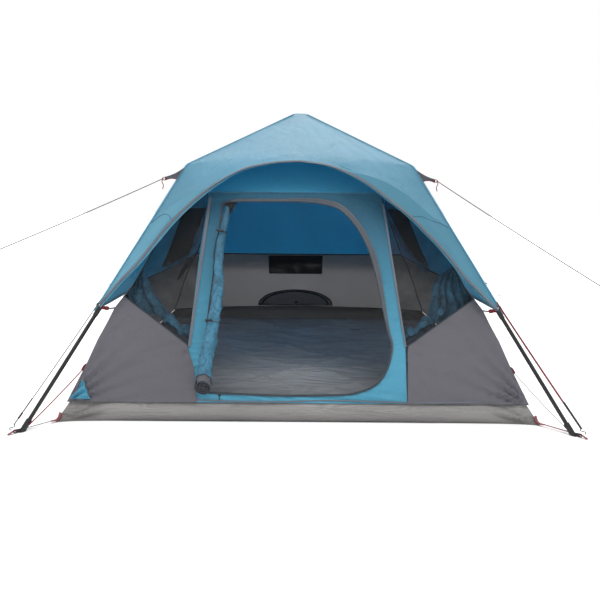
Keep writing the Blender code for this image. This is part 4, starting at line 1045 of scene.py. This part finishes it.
def make_groundsheet():
    """The tub floor: an upturned sill with folds pulled to the pegged corners, and a slightly creased floor."""
    count = 96
    tubs = []
    for sides in ((0,), (1, 2, 3)):
        rows = []
        for i in range(13):
            t = i / 12
            row = []
            for side, k in ((side, k) for side in sides for k in range(count + (side == sides[-1]))):
                turn = Matrix.Rotation(math.pi / 2 * side, 3, "Z")
                u = -1 + 2 * k / count
                z = sill_top(side, u) * t
                end = 1 - abs(u)
                reach = end * 1.2
                w = table(CORNER, z) - 0.022 * max(0.0, 1 - t / 0.45) ** 1.3 * (1 - math.exp(-9 * reach))
                w -= 0.012 * t
                fan = math.atan2(z + 0.012, reach + 0.02)
                pull = math.exp(-3.4 * reach)
                fold = 0.016 * math.sin(24 * fan + 3 * rough((u, side, 0), 3.0, 2.0)) * pull
                fold += 0.012 * math.sin(60 * (z + 0.11 * u * u) + 9 * u) * rough((u * 1.2, side, z), 2.2, 4.0)
                fold = fold * math.sin(math.pi * min(1, t * 1.05)) ** 0.7 - 0.004
                belly = 0.012 * math.sin(math.pi * t)
                row.append(turn @ Vector((w * u, -(w + (fold + belly) * min(1, end * 12)), z)))
            rows.append(row)
        tubs.append(grid(rows))
    inner = []
    n = 110
    for i in range(n + 1):
        y = mix(-FLOOR_EDGE, FLOOR_EDGE, i / n)
        inner.append([])
        for j in range(n + 1):
            x = mix(-FLOOR_EDGE, FLOOR_EDGE, j / n)
            edge = ease(min(FLOOR_EDGE - abs(x), FLOOR_EDGE - abs(y)) / 0.08)
            ridge = 0.0
            for turn_by, spread, seed in ((0.35, 2.4, 11.0), (-0.45, 3.1, 4.0), (0.1, 1.7, 21.0)):
                along = x * math.cos(turn_by) + y * math.sin(turn_by)
                over = y * math.cos(turn_by) - x * math.sin(turn_by)
                crease = abs(rough((0.35 * along, over, 0), spread, seed))
                ridge += 0.014 * max(0.0, 0.12 - crease) / 0.12
            inner[-1].append(Vector((x, y, 0.0035 + edge * (0.002 + ridge + 0.0025 * rough((x, y, 0), 6.0, 2.0)))))
    floor = grid(inner)
    sill = finish_piece("groundsheet_sill_front", thickened(tubs[0], 0.0008), SILL, "floor_grey",
                        stands_for=["groundsheet"])
    tub = finish_piece("groundsheet_tub", thickened(tubs[1], 0.0008), TUB, "floor_grey")
    base = finish_piece("groundsheet_floor", thickened(floor, 0.0008), FLOOR, "floor_grey")
    line = [Vector((mix(-1.150, 1.150, i / 60), -(corner_half(sill_top(0, mix(-1, 1, i / 60))) + 0.003),
                    sill_top(0, mix(-1, 1, i / 60)) + 0.001)) for i in range(61)]
    band("sill_seam_front", line, (0, 0.4, 1), 0.007, GREY_TAPE, "wall_grey", thickness=0.002)
    for side, label in ((1, "right"), (2, "rear"), (3, "left")):
        turn = Matrix.Rotation(math.pi / 2 * side, 3, "Z")
        line = []
        for i in range(61):
            u = mix(-0.995, 0.995, i / 60)
            z = sill_top(side, u)
            line.append(turn @ Vector((u * corner_half(z), -(corner_half(z) - 0.003), z)))
        band(f"sill_seam_{label}", line, (0, 0, 1), 0.009, DARK_TAPE, "mesh_black", thickness=0.002)


# ---------------------------------------------------------------- smaller cloth pieces
def crumpled(name, spine, radii, seed):
    """A rolled side cover along a spine: a loose scroll whose layers wander."""
    steps, folds, squeeze = 44, 2.0, 0.8
    points, turns = frames(spine)
    rows = []
    for i, (p, (side, lift)) in enumerate(zip(points, turns)):
        t = i / (len(points) - 1)
        radius = table(radii, t)
        row = []
        for j in range(steps + 1):
            s = j / steps
            angle = 2 * math.pi * folds * s + 5 * rough((t * 4, seed, 0), 1.0, seed) + seed
            r = radius * mix(0.25, 1.0, s)
            r *= 1 + 0.50 * rough((math.cos(angle), math.sin(angle), 9 * t), 1.4, seed) \
                + 0.22 * rough((2 * math.cos(angle), 2 * math.sin(angle), 30 * t), 1.2, seed + 4)
            row.append(p + r * (math.cos(angle) * side * squeeze + math.sin(angle) * lift))
        rows.append(row)
    made = finish_piece(name, thickened(grid(rows, welded=0), 0.0008, 70), COVER_LIGHT, "wall_blue")


def make_front_windows():
    """Sheer mesh over the two front windows. Their blue covers, let down behind it, are made in make_window_covers."""
    for label, sign, foot, head in (("left", -1, (0.566, 0.352), 0.508), ("right", 1, (0.552, 0.352), 0.466)):
        rows = []
        for i in range(25):
            t = i / 24
            outer_z, inner_z = mix(0.585, 1.127, t), mix(foot[1], 1.127, t)
            outer_x, inner_x = corner_half(outer_z) - 0.003, mix(foot[0], head, t)
            rows.append([front_point(sign * mix(outer_x, inner_x, j / 12), mix(outer_z, inner_z, j / 12), -0.003)
                         for j in range(13)])
        net = finish_piece(f"front_window_net_{label}", thickened(grid(rows), 0.0006), SHEER, "mesh_black")


def draped(name, corner_line, free_line, pleats, depth, seed):
    """A let-down cover: cloth between its sewn edge and its free edge, in pleats that deepen downwards."""
    sewn, free = spline(corner_line, 33), spline(free_line, 33)
    rows = []
    for i, (a, b) in enumerate(zip(sewn, free)):
        t = i / 32
        row = []
        for j in range(61):
            s = j / 60
            wander = 0.9 * rough((2.2 * s, seed, 2.4 * t), 1.3, seed)
            pleat = 1 - 2 * abs(math.sin(math.pi * pleats * s + 2.0 * wander + seed)) ** 0.7
            crumple = 0.35 * rough((5 * s, seed, 7 * t), 1.5, seed + 3)
            push = depth * (pleat + crumple) * min(1.0, 0.25 + 1.4 * t) * min(1.0, 5 * s)
            row.append(a.lerp(b, s) + Vector((0, 1, 0)) * push + Vector((0, 0, 1)) * 0.25 * depth * crumple)
        rows.append(row)
    made = finish_piece(name, thickened(grid(rows, welded=0), 0.0008, 60), COVER_BLUE, "wall_blue")


def heaped(name, start, end, height, seed):
    """The part of a cover that lies folded along the grey panel's upper edge."""
    rows = []
    for i in range(25):
        t = i / 24
        row = []
        for j in range(49):
            s = j / 48
            base = Vector(start).lerp(Vector(end), s)
            ridge = abs(math.sin(math.pi * (2.3 * s + 0.35 + 0.25 * t)))
            rise = height * (0.45 + 0.55 * ridge) * math.sin(math.pi * min(1.0, 0.12 + 0.88 * t)) ** 0.8
            crumple = 0.016 * (0.5 - abs(rough((6 * s, seed, 5 * t), 1.5, seed)) * 2)
            row.append(base + Vector((0, mix(0.004, 0.150, t), rise - 0.05 * t * t + crumple)))
        rows.append(row)
    made = finish_piece(name, thickened(grid(rows, welded=0), 0.0008, 50), COVER_BLUE, "wall_blue")


def make_window_covers():
    """The front windows' covers let down behind the grey panels, and the side windows' rolled ones."""
    draped("front_cover_left", [(-0.850, -0.838, 0.712), (-0.880, -0.862, 0.650), (-0.905, -0.885, 0.590),
                                (-0.905, -0.900, 0.500)],
           [(-0.838, -0.826, 0.712), (-0.802, -0.838, 0.640), (-0.752, -0.865, 0.555), (-0.690, -0.885, 0.470)],
           2.6, 0.014, 2.0)
    heaped("front_cover_fold_left", (-0.760, -0.955, 0.480), (-0.568, -0.990, 0.352), 0.070, 1.5)
    draped("front_cover_right", [(0.838, -0.828, 0.738), (0.870, -0.855, 0.665), (0.900, -0.885, 0.590),
                                 (0.900, -0.900, 0.480)],
           [(0.812, -0.815, 0.738), (0.735, -0.812, 0.660), (0.720, -0.830, 0.560), (0.700, -0.860, 0.440)],
           4.4, 0.020, 5.0)
    heaped("front_cover_fold_right", (0.755, -0.955, 0.478), (0.553, -0.990, 0.352), 0.065, 3.5)
    spine = spline([Vector((-0.872, 0.38, 0.668)), Vector((-0.858, 0.15, 0.652)), Vector((-0.856, -0.08, 0.658)),
                    Vector((-0.850, -0.30, 0.680))], 41)
    crumpled("side_cover_left", spine, [(0, 0.030), (0.5, 0.024), (1, 0.018)], 3.3)
    spine = spline([Vector((0.852, -0.20, 0.668)), Vector((0.856, -0.05, 0.655)), Vector((0.850, 0.15, 0.675)),
                    Vector((0.815, 0.33, 0.745)), Vector((0.765, 0.48, 0.86))], 41)
    crumpled("side_cover_right", spine, [(0, 0.038), (0.5, 0.030), (1, 0.016)], 5.9)
    for label, sign, y_top, y_low in (("left", -1, 0.34, 0.37), ("right", 1, 0.66, 0.26)):
        rows = []
        for i in range(21):
            t = i / 20
            z = mix(1.035, 0.675, t)
            y = mix(y_top, y_low, t)
            row = []
            for j in range(9):
                s = j / 8
                curl = 0.020 * math.sin(math.pi * s) + 0.006 * math.sin(9 * t + 4 * s)
                row.append(Vector((sign * (corner_half(z) - 0.020 - curl), y + mix(-0.035, 0.045, s), z)))
            rows.append(row)
        finish_piece(f"side_cover_edge_{label}", thickened(grid(rows), 0.0009), COVER_LIGHT, "wall_blue")


def make_pocket():
    """A small mesh pocket high on the left wall near the rear, with its hem tape. Its drawcord tails are not made."""
    rows = []
    for i in range(13):
        t = i / 12
        z = mix(0.615, 0.455, t)
        row = []
        for j in range(13):
            s = j / 12
            width = mix(0.17, 0.11, t)
            y = 0.60 + (s - 0.5) * width
            bulge = 0.030 * math.sin(math.pi * s) * math.sin(math.pi * (0.25 + 0.7 * t)) + 0.004
            row.append(wall_point(270, -y, z) + Vector((bulge, 0, 0)))
        rows.append(row)
    finish_piece("wall_pocket", thickened(grid(rows), 0.0008), NET, "mesh_black")
    band("wall_pocket_hem", [p + Vector((0.002, 0, 0)) for p in rows[0]], (0, 0, 1), 0.014, DARK_TAPE, "mesh_black")


def make_vent():
    """The half-moon vent low in the rear wall, with two bound edges."""
    def place(x, z, proud):
        return wall_point(180, -x, z) + Vector((0, -proud, 0))

    base, high = 0.150, 0.150
    rows = []
    for i in range(11):
        t = i / 10
        rows.append([place(-0.03 + 0.335 * math.cos(a) * t, base + high * math.sin(a) * t, 0.006)
                     for a in (math.pi * k / 32 for k in range(33))])
    bm = grid(rows[1:])
    hub = bm.verts.new(place(-0.03, base, 0.006))
    bm.verts.ensure_lookup_table()
    low_ring = sorted((v for v in bm.verts if v != hub and (v.co - hub.co).length < 0.036),
                      key=lambda v: math.atan2(v.co.z - base, v.co.x + 0.03))
    for a, b in zip(low_ring, low_ring[1:]):
        bm.faces.new((a, b, hub))
    bmesh.ops.recalc_face_normals(bm, faces=bm.faces[:])
    finish_piece("vent_cloth", thickened(bm, 0.0008), WALL_GREY, "mesh_black", stands_for=["rear_vent"])
    for number, (share, proud) in enumerate(((1.0, 0.011), (0.90, 0.010))):
        arc = [place(-0.03 + 0.335 * share * math.cos(a), base + high * share * math.sin(a), proud)
               for a in (math.pi * k / 48 for k in range(49))]
        finish_piece(f"vent_piping_{number + 1}", tube_mesh(arc, 0.0060, 8), DARK_TAPE, "mesh_black")
    line = [place(-0.365 + 0.67 * k / 30, base, 0.009) for k in range(31)]
    band("vent_base_tape", line, (0, 0, 1), 0.010, DARK_TAPE, "mesh_black")


# ---------------------------------------------------------------- tabs, straps and cords
TAB_TIP = (1.045, 1.197)
REAR_TAB_SIDE = 0.030
FRONT_GUY_ENDS = {"front_left": (-1.43, -1.16, 0.842), "front_right": (1.345, -1.36, 0.716)}
REAR_PEGS = {"rear_left": (-2.33, 2.50, 0.012), "rear_right": (2.37, 2.50, 0.012)}


def tab_side(azimuth):
    return 0 if azimuth > 180 else math.copysign(REAR_TAB_SIDE, 90 - azimuth)


def seam_point(height):
    """(r, z) on the fly's corner seam at a height below the shoulder."""
    slope = (HEM_HALF - SHOULDER_HALF) / (SHOULDER_HEIGHT - HEM)
    return math.sqrt(2) * (SHOULDER_HALF + slope * (SHOULDER_HEIGHT - height)), height


def make_tabs():
    """Grey three-cornered tabs that hold the guy lines, each with a red loop and a short tail."""
    for label, azimuth in LEGS.items():
        upper, lower = seam_point(1.262), seam_point(1.196)
        side = tab_side(azimuth)
        rows = []
        for i in range(13):
            t = i / 12
            r0, z0 = mix(upper[0], lower[0], t), mix(upper[1], lower[1], t)
            row = []
            for j in range(13):
                s = j / 12
                curve = 0.007 * math.sin(math.pi * s) * (1 - 2 * t)
                tip = (TAB_TIP[0] - 0.012, side, TAB_TIP[1] + 0.016 * (0.5 - t))
                row.append(turned((mix(r0 + 0.001, tip[0], s), side * s + 0.002 * math.sin(6 * t + 5 * s) * s,
                                   mix(z0, tip[2], s) - curve), azimuth))
            rows.append(row)
        finish_piece(f"guy_tab_{label}", thickened(grid(rows), 0.0024), GREY, "wall_grey")
        for name, row_index, t in (("upper", 0, 0), ("lower", 12, 1)):
            band(f"guy_tab_edge_{name}_{label}", rows[row_index], turned((0, 1, 0), azimuth), 0.006, RED_WEB
                 if t else GREY_TAPE, "cord_red" if t else "wall_grey", thickness=0.003)
        tip = turned((TAB_TIP[0], side, TAB_TIP[1]), azimuth)
        out, up = turned((1, 0, 0), azimuth), Vector((0, 0, 1))
        loop = [tip + out * (-0.010 + 0.011 * math.cos(a)) + up * 0.008 * math.sin(a)
                for a in (2 * math.pi * k / 16 for k in range(17))]
        across = turned((0, 1, 0), azimuth)
        tail = spline([tip, tip + out * 0.006 - up * 0.015, tip - out * 0.002 - up * 0.035,
                       tip + out * 0.004 - up * 0.055], 14)
        parts = [ribbon_mesh(loop, [across] * 17, 0.010, 0.002), tube_mesh(tail, 0.0022, 6)]
        finish_piece(f"guy_loop_{label}", merged(parts), RED_WEB, "cord_red")


def sagged(start, end, sag, count):
    """A nearly straight line that hangs by sag at its middle."""
    return [start.lerp(end, i / (count - 1)) - Vector((0, 0, 4 * sag * (i / (count - 1)) * (1 - i / (count - 1))))
            for i in range(count)]


def make_guys():
    """Guy lines: the front two run out of view, the rear two to their pegs."""
    for label, end in FRONT_GUY_ENDS.items():
        start = turned((TAB_TIP[0], 0, TAB_TIP[1]), LEGS[label])
        end = Vector(end)
        line = sagged(start, end, 0.004, 25)
        material = GREY_CORD if label == "front_left" else RED_CORD
        made = finish_piece(f"guy_cord_{label}", tube_mesh(line, 0.0020, 8), material, "cord_red",
                            stands_for=[f"guy_line_{label}"])
        way = (end - start).normalized()
        side = way.cross(Vector((0, 0, 1))).normalized()
        knot = [end + way * (-0.004 + 0.009 * math.cos(a)) + side * 0.006 * math.sin(a)
                + Vector((0, 0, 0.003 * math.sin(2 * a))) for a in (2 * math.pi * k / 20 for k in range(21))]
        tie = finish_piece(f"guy_knot_{label}", tube_mesh(knot, 0.0019, 8), RED_CORD, "cord_red")
    for label, end in REAR_PEGS.items():
        azimuth = LEGS[label]
        start = turned((TAB_TIP[0], tab_side(azimuth), TAB_TIP[1]), azimuth)
        end = Vector(end)
        line = sagged(start, end, 0.0, 41)
        made = finish_piece(f"guy_cord_{label}", tube_mesh(line, 0.0020, 8), GREY_CORD, "cord_red",
                            body=f"guy_{label}", stands_for=[f"guy_line_{label}"])


def strap(name, line, across, width, material, thickness=0.0016):
    """A flat strap."""
    across = [Vector(across)] * len(line)
    made = finish_piece(name, ribbon_mesh(line, across, width, thickness), material, "cord_red")
    return made


def make_straps():
    """What holds each corner to its leg: a tab at mid height, an edge strap, a tension cord and floor webbing."""
    for label, azimuth in LEGS.items():
        front = label.startswith("front")
        sx = -1 if label.endswith("left") else 1
        sy = -1 if front else 1
        side = turned((0, 1, 0), azimuth)
        leg_r = FOOT_RADIUS - 0.53 / math.tan(LEG_PITCH)
        w = corner_half(0.53)
        wall = Vector((sx * (w - 0.012), sy * (w - 0.012), 0.530))
        leg = turned((leg_r - 0.010, 0, 0.545), azimuth)
        link = spline([wall, wall.lerp(leg, 0.5) + Vector((0, 0, -0.006)), leg], 9)
        upright = side.cross((leg - wall).normalized())
        band(f"leg_tab_web_{label}", link[:6], upright, 0.007, BLACK_WEB, "moulding_black", 0.0022)
        band(f"leg_tab_{label}", link[4:], upright, [0.018, 0.022, 0.018, 0.020, 0.024], RED_WEB, "cord_red", 0.003)
        centre = turned((leg_r, 0, 0.537), azimuth)
        leg_way = turned((math.cos(-LEG_PITCH), 0, math.sin(-LEG_PITCH)), azimuth)
        leg_out = side.cross(leg_way)
        wrap = [centre + 0.0125 * (math.cos(a) * side + math.sin(a) * leg_out)
                for a in (2 * math.pi * k / 20 for k in range(21))]
        band(f"leg_wrap_{label}", wrap, leg_way, 0.020, BLACK_WEB, "moulding_black", 0.0016)
        w = corner_half(0.250)
        edge = Vector((sx * (w - 0.002), sy * (w - 0.002), 0.250))
        low = turned((FOOT_RADIUS - 0.028, 0.018 * sx * sy, 0.030), azimuth)
        start = edge.lerp(low, 0.07)
        thick = 0.0100 if label == "front_left" else 0.0040
        strap(f"edge_strap_{label}", sagged(start, low, 0.004, 19), side, thick,
              RED_WEB if label != "front_right" else GREY_CORD)
        patch = [edge + (edge - Vector((0, 0, edge.z))).normalized() * -0.018, edge, start]
        band(f"edge_tab_{label}", spline(patch, 9), (0, 0, 1), [0.034 - 0.0026 * k for k in range(9)], RED_WEB,
             "cord_red", 0.003)
        hem = seam_point(0.585)
        top = turned((hem[0] + 0.004, 0, hem[1]), azimuth)
        bottom = turned((FOOT_RADIUS + 0.032, 0, 0.042), azimuth)
        line = sagged(top, bottom, 0.003, 31)
        thick = 0.0096 if label == "front_right" else 0.0044
        material = RED_WEB if label == "front_right" else GREY_CORD
        made = finish_piece(f"tension_cord_{label}", tube_mesh(line, thick / 2, 8), material, "cord_red")
        sleeve = [p + Vector((0, 0, 0.0004)) for p in spaced([top.lerp(bottom, 0.80), bottom], 8)]
        end_cord = finish_piece(f"tension_end_{label}", tube_mesh(sleeve, thick / 2 + 0.0006, 8), BLACK_WEB,
                                "moulding_black")
        hook_line = [bottom + 0.014 * leg_way * (k / 12 * 2.2 - 0.3)
                     + leg_out * 0.008 * math.sin(math.pi * k / 6) for k in range(13)]
        hook = finish_piece(f"s_hook_{label}", tube_mesh(hook_line, 0.0022, 8), PLASTIC, "moulding_black")
        spot = top.lerp(bottom, 0.93)
        way = (bottom - top).normalized()
        body = [spot + way * x for x in (-0.016, -0.014, -0.006, 0.006, 0.014, 0.016)]
        slide = finish_piece(f"tension_runner_{label}", tube_mesh(body, [0.003, 0.0050, 0.0044, 0.0044, 0.0050, 0.003],
                                                                  10), PLASTIC, "moulding_black")
        floor = Vector((sx * 1.190, sy * 1.190, 0.012))
        knot = Vector((sx * 1.214, sy * 1.214, 0.012))
        band(f"floor_web_{label}", spline([floor + Vector((-sx * 0.012, -sy * 0.012, 0.030)), floor, knot], 9),
             side, [0.030, 0.030, 0.028, 0.026, 0.024, 0.020, 0.017, 0.014, 0.012], RED_WEB, "cord_red", 0.003)
        end = turned((FOOT_RADIUS - 0.014, 0, 0.012), azimuth)
        if label == "front_right":
            strap(f"floor_strap_{label}", sagged(knot, end, 0.0, 9), side, 0.010, RED_WEB)
        else:
            cord_line = sagged(knot, end, 0.0, 9)
            thin = finish_piece(f"floor_cord_{label}", tube_mesh(cord_line, 0.0018, 8), GREY_CORD, "cord_red")


def make_foot_straps():
    """A red strap through each foot's eye, with a wire peg on the ground. They go with the foot."""
    for label, azimuth in LEGS.items():
        eye = turned((FOOT_RADIUS + 0.030, 0, 0.010), azimuth)
        out = turned((1, 0, 0), azimuth)
        side = turned((0, 1, 0), azimuth)
        line = spline([eye + out * -0.006 + Vector((0, 0, 0.004)), eye + out * 0.012 + Vector((0, 0, 0.001)),
                       eye + out * 0.020 - Vector((0, 0, 0.003)), eye + out * 0.032 - Vector((0, 0, 0.006))], 11)
        band(f"foot_strap_{label}", line, side, 0.014, RED_WEB, "cord_red", 0.0022, body=f"lower_leg_{label}")


# ---------------------------------------------------------------- the CAD nodes that stay, in finished materials
FINISHES = {"tube_black": TUBE, "moulding_black": PLASTIC, "pin_steel": STEEL, "button_red": BUTTON}


def finish_of(node):
    """The finish of a CAD node that stays in view."""
    if node.startswith(("roof_arm", "upper_leg", "lower_leg")):
        return "tube_black"
    if node.startswith(("shoulder_pin", "knee_pin", "hub_ring", "peg")):
        return "pin_steel"
    return "button_red" if node == "release_button" else "moulding_black"


def paint_frame():
    for name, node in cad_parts.items():
        if node.hide_render:
            continue
        slot = finish_of(name)
        node.data.materials.clear()
        node.data.materials.append(FINISHES[slot])


# ---------------------------------------------------------------- camera, lights and floor
def make_set():
    scene = bpy.context.scene
    camera = bpy.data.objects.new("camera", bpy.data.cameras.new("camera"))
    scene.collection.objects.link(camera)
    camera.data.sensor_width = 36.0
    camera.data.lens = 31.74
    camera.data.clip_end = 100.0
    camera.location = (-0.005, -3.66, 1.08)
    camera.rotation_euler = (Matrix.Rotation(math.radians(-0.2), 3, "Z") @ Matrix.Rotation(math.radians(79.5), 3, "X")
                             @ Matrix.Rotation(math.radians(0.5), 3, "Z")).to_euler()
    scene.camera = camera
    scene.view_settings.view_transform = "Standard"
    scene.view_settings.look = "None"

    world = bpy.data.worlds.new("studio")
    scene.world = world
    world.use_nodes = True
    tree = world.node_tree
    sky, rest = tree.nodes["Background"], tree.nodes.new("ShaderNodeBackground")
    sky.inputs["Color"].default_value = (1.0, 1.0, 1.0, 1)
    sky.inputs["Strength"].default_value = 1.0
    rest.inputs["Color"].default_value = (0.97, 0.985, 1.0, 1)
    rest.inputs["Strength"].default_value = 0.85
    seen, both = tree.nodes.new("ShaderNodeLightPath"), tree.nodes.new("ShaderNodeMixShader")
    tree.links.new(seen.outputs["Is Camera Ray"], both.inputs[0])
    tree.links.new(rest.outputs[0], both.inputs[1])
    tree.links.new(sky.outputs[0], both.inputs[2])
    tree.links.new(both.outputs[0], tree.nodes["World Output"].inputs["Surface"])

    for name, energy, angle, way in (("overhead", 1.7, 35, (0.06, -0.30, 1.0)),
                                     ("behind", 1.4, 35, (0.10, 0.80, 0.85))):
        sun = bpy.data.objects.new(name, bpy.data.lights.new(name, "SUN"))
        sun.data.energy = energy
        sun.data.angle = math.radians(angle)
        sun.rotation_euler = Vector(way).to_track_quat("Z", "Y").to_euler()
        scene.collection.objects.link(sun)

    bm = bmesh.new()
    bmesh.ops.create_circle(bm, cap_ends=True, segments=64, radius=45.0)
    mesh = bpy.data.meshes.new("studio_floor")
    bm.to_mesh(mesh)
    bm.free()
    floor = bpy.data.objects.new("studio_floor", mesh)
    scene.collection.objects.link(floor)
    paper = Paint("studio_paper")
    paper.link(paper.ramp(paper.noise(0.6, 2.0), [(0.3, (0.93, 0.93, 0.93)), (0.7, (0.95, 0.95, 0.95))]),
               paper.shader.inputs["Base Color"])
    paper.shader.inputs["Roughness"].default_value = 0.9
    paper.shader.inputs["Specular IOR Level"].default_value = 0.1
    mesh.materials.append(paper.material)


make_set()
make_guys()
make_tabs()
make_straps()
make_foot_straps()
make_fly()
make_fly_trim()
make_walls()
make_front()
make_door_roll()
make_roof()
make_groundsheet()
make_front_windows()
make_window_covers()
make_pocket()
make_vent()
paint_frame()
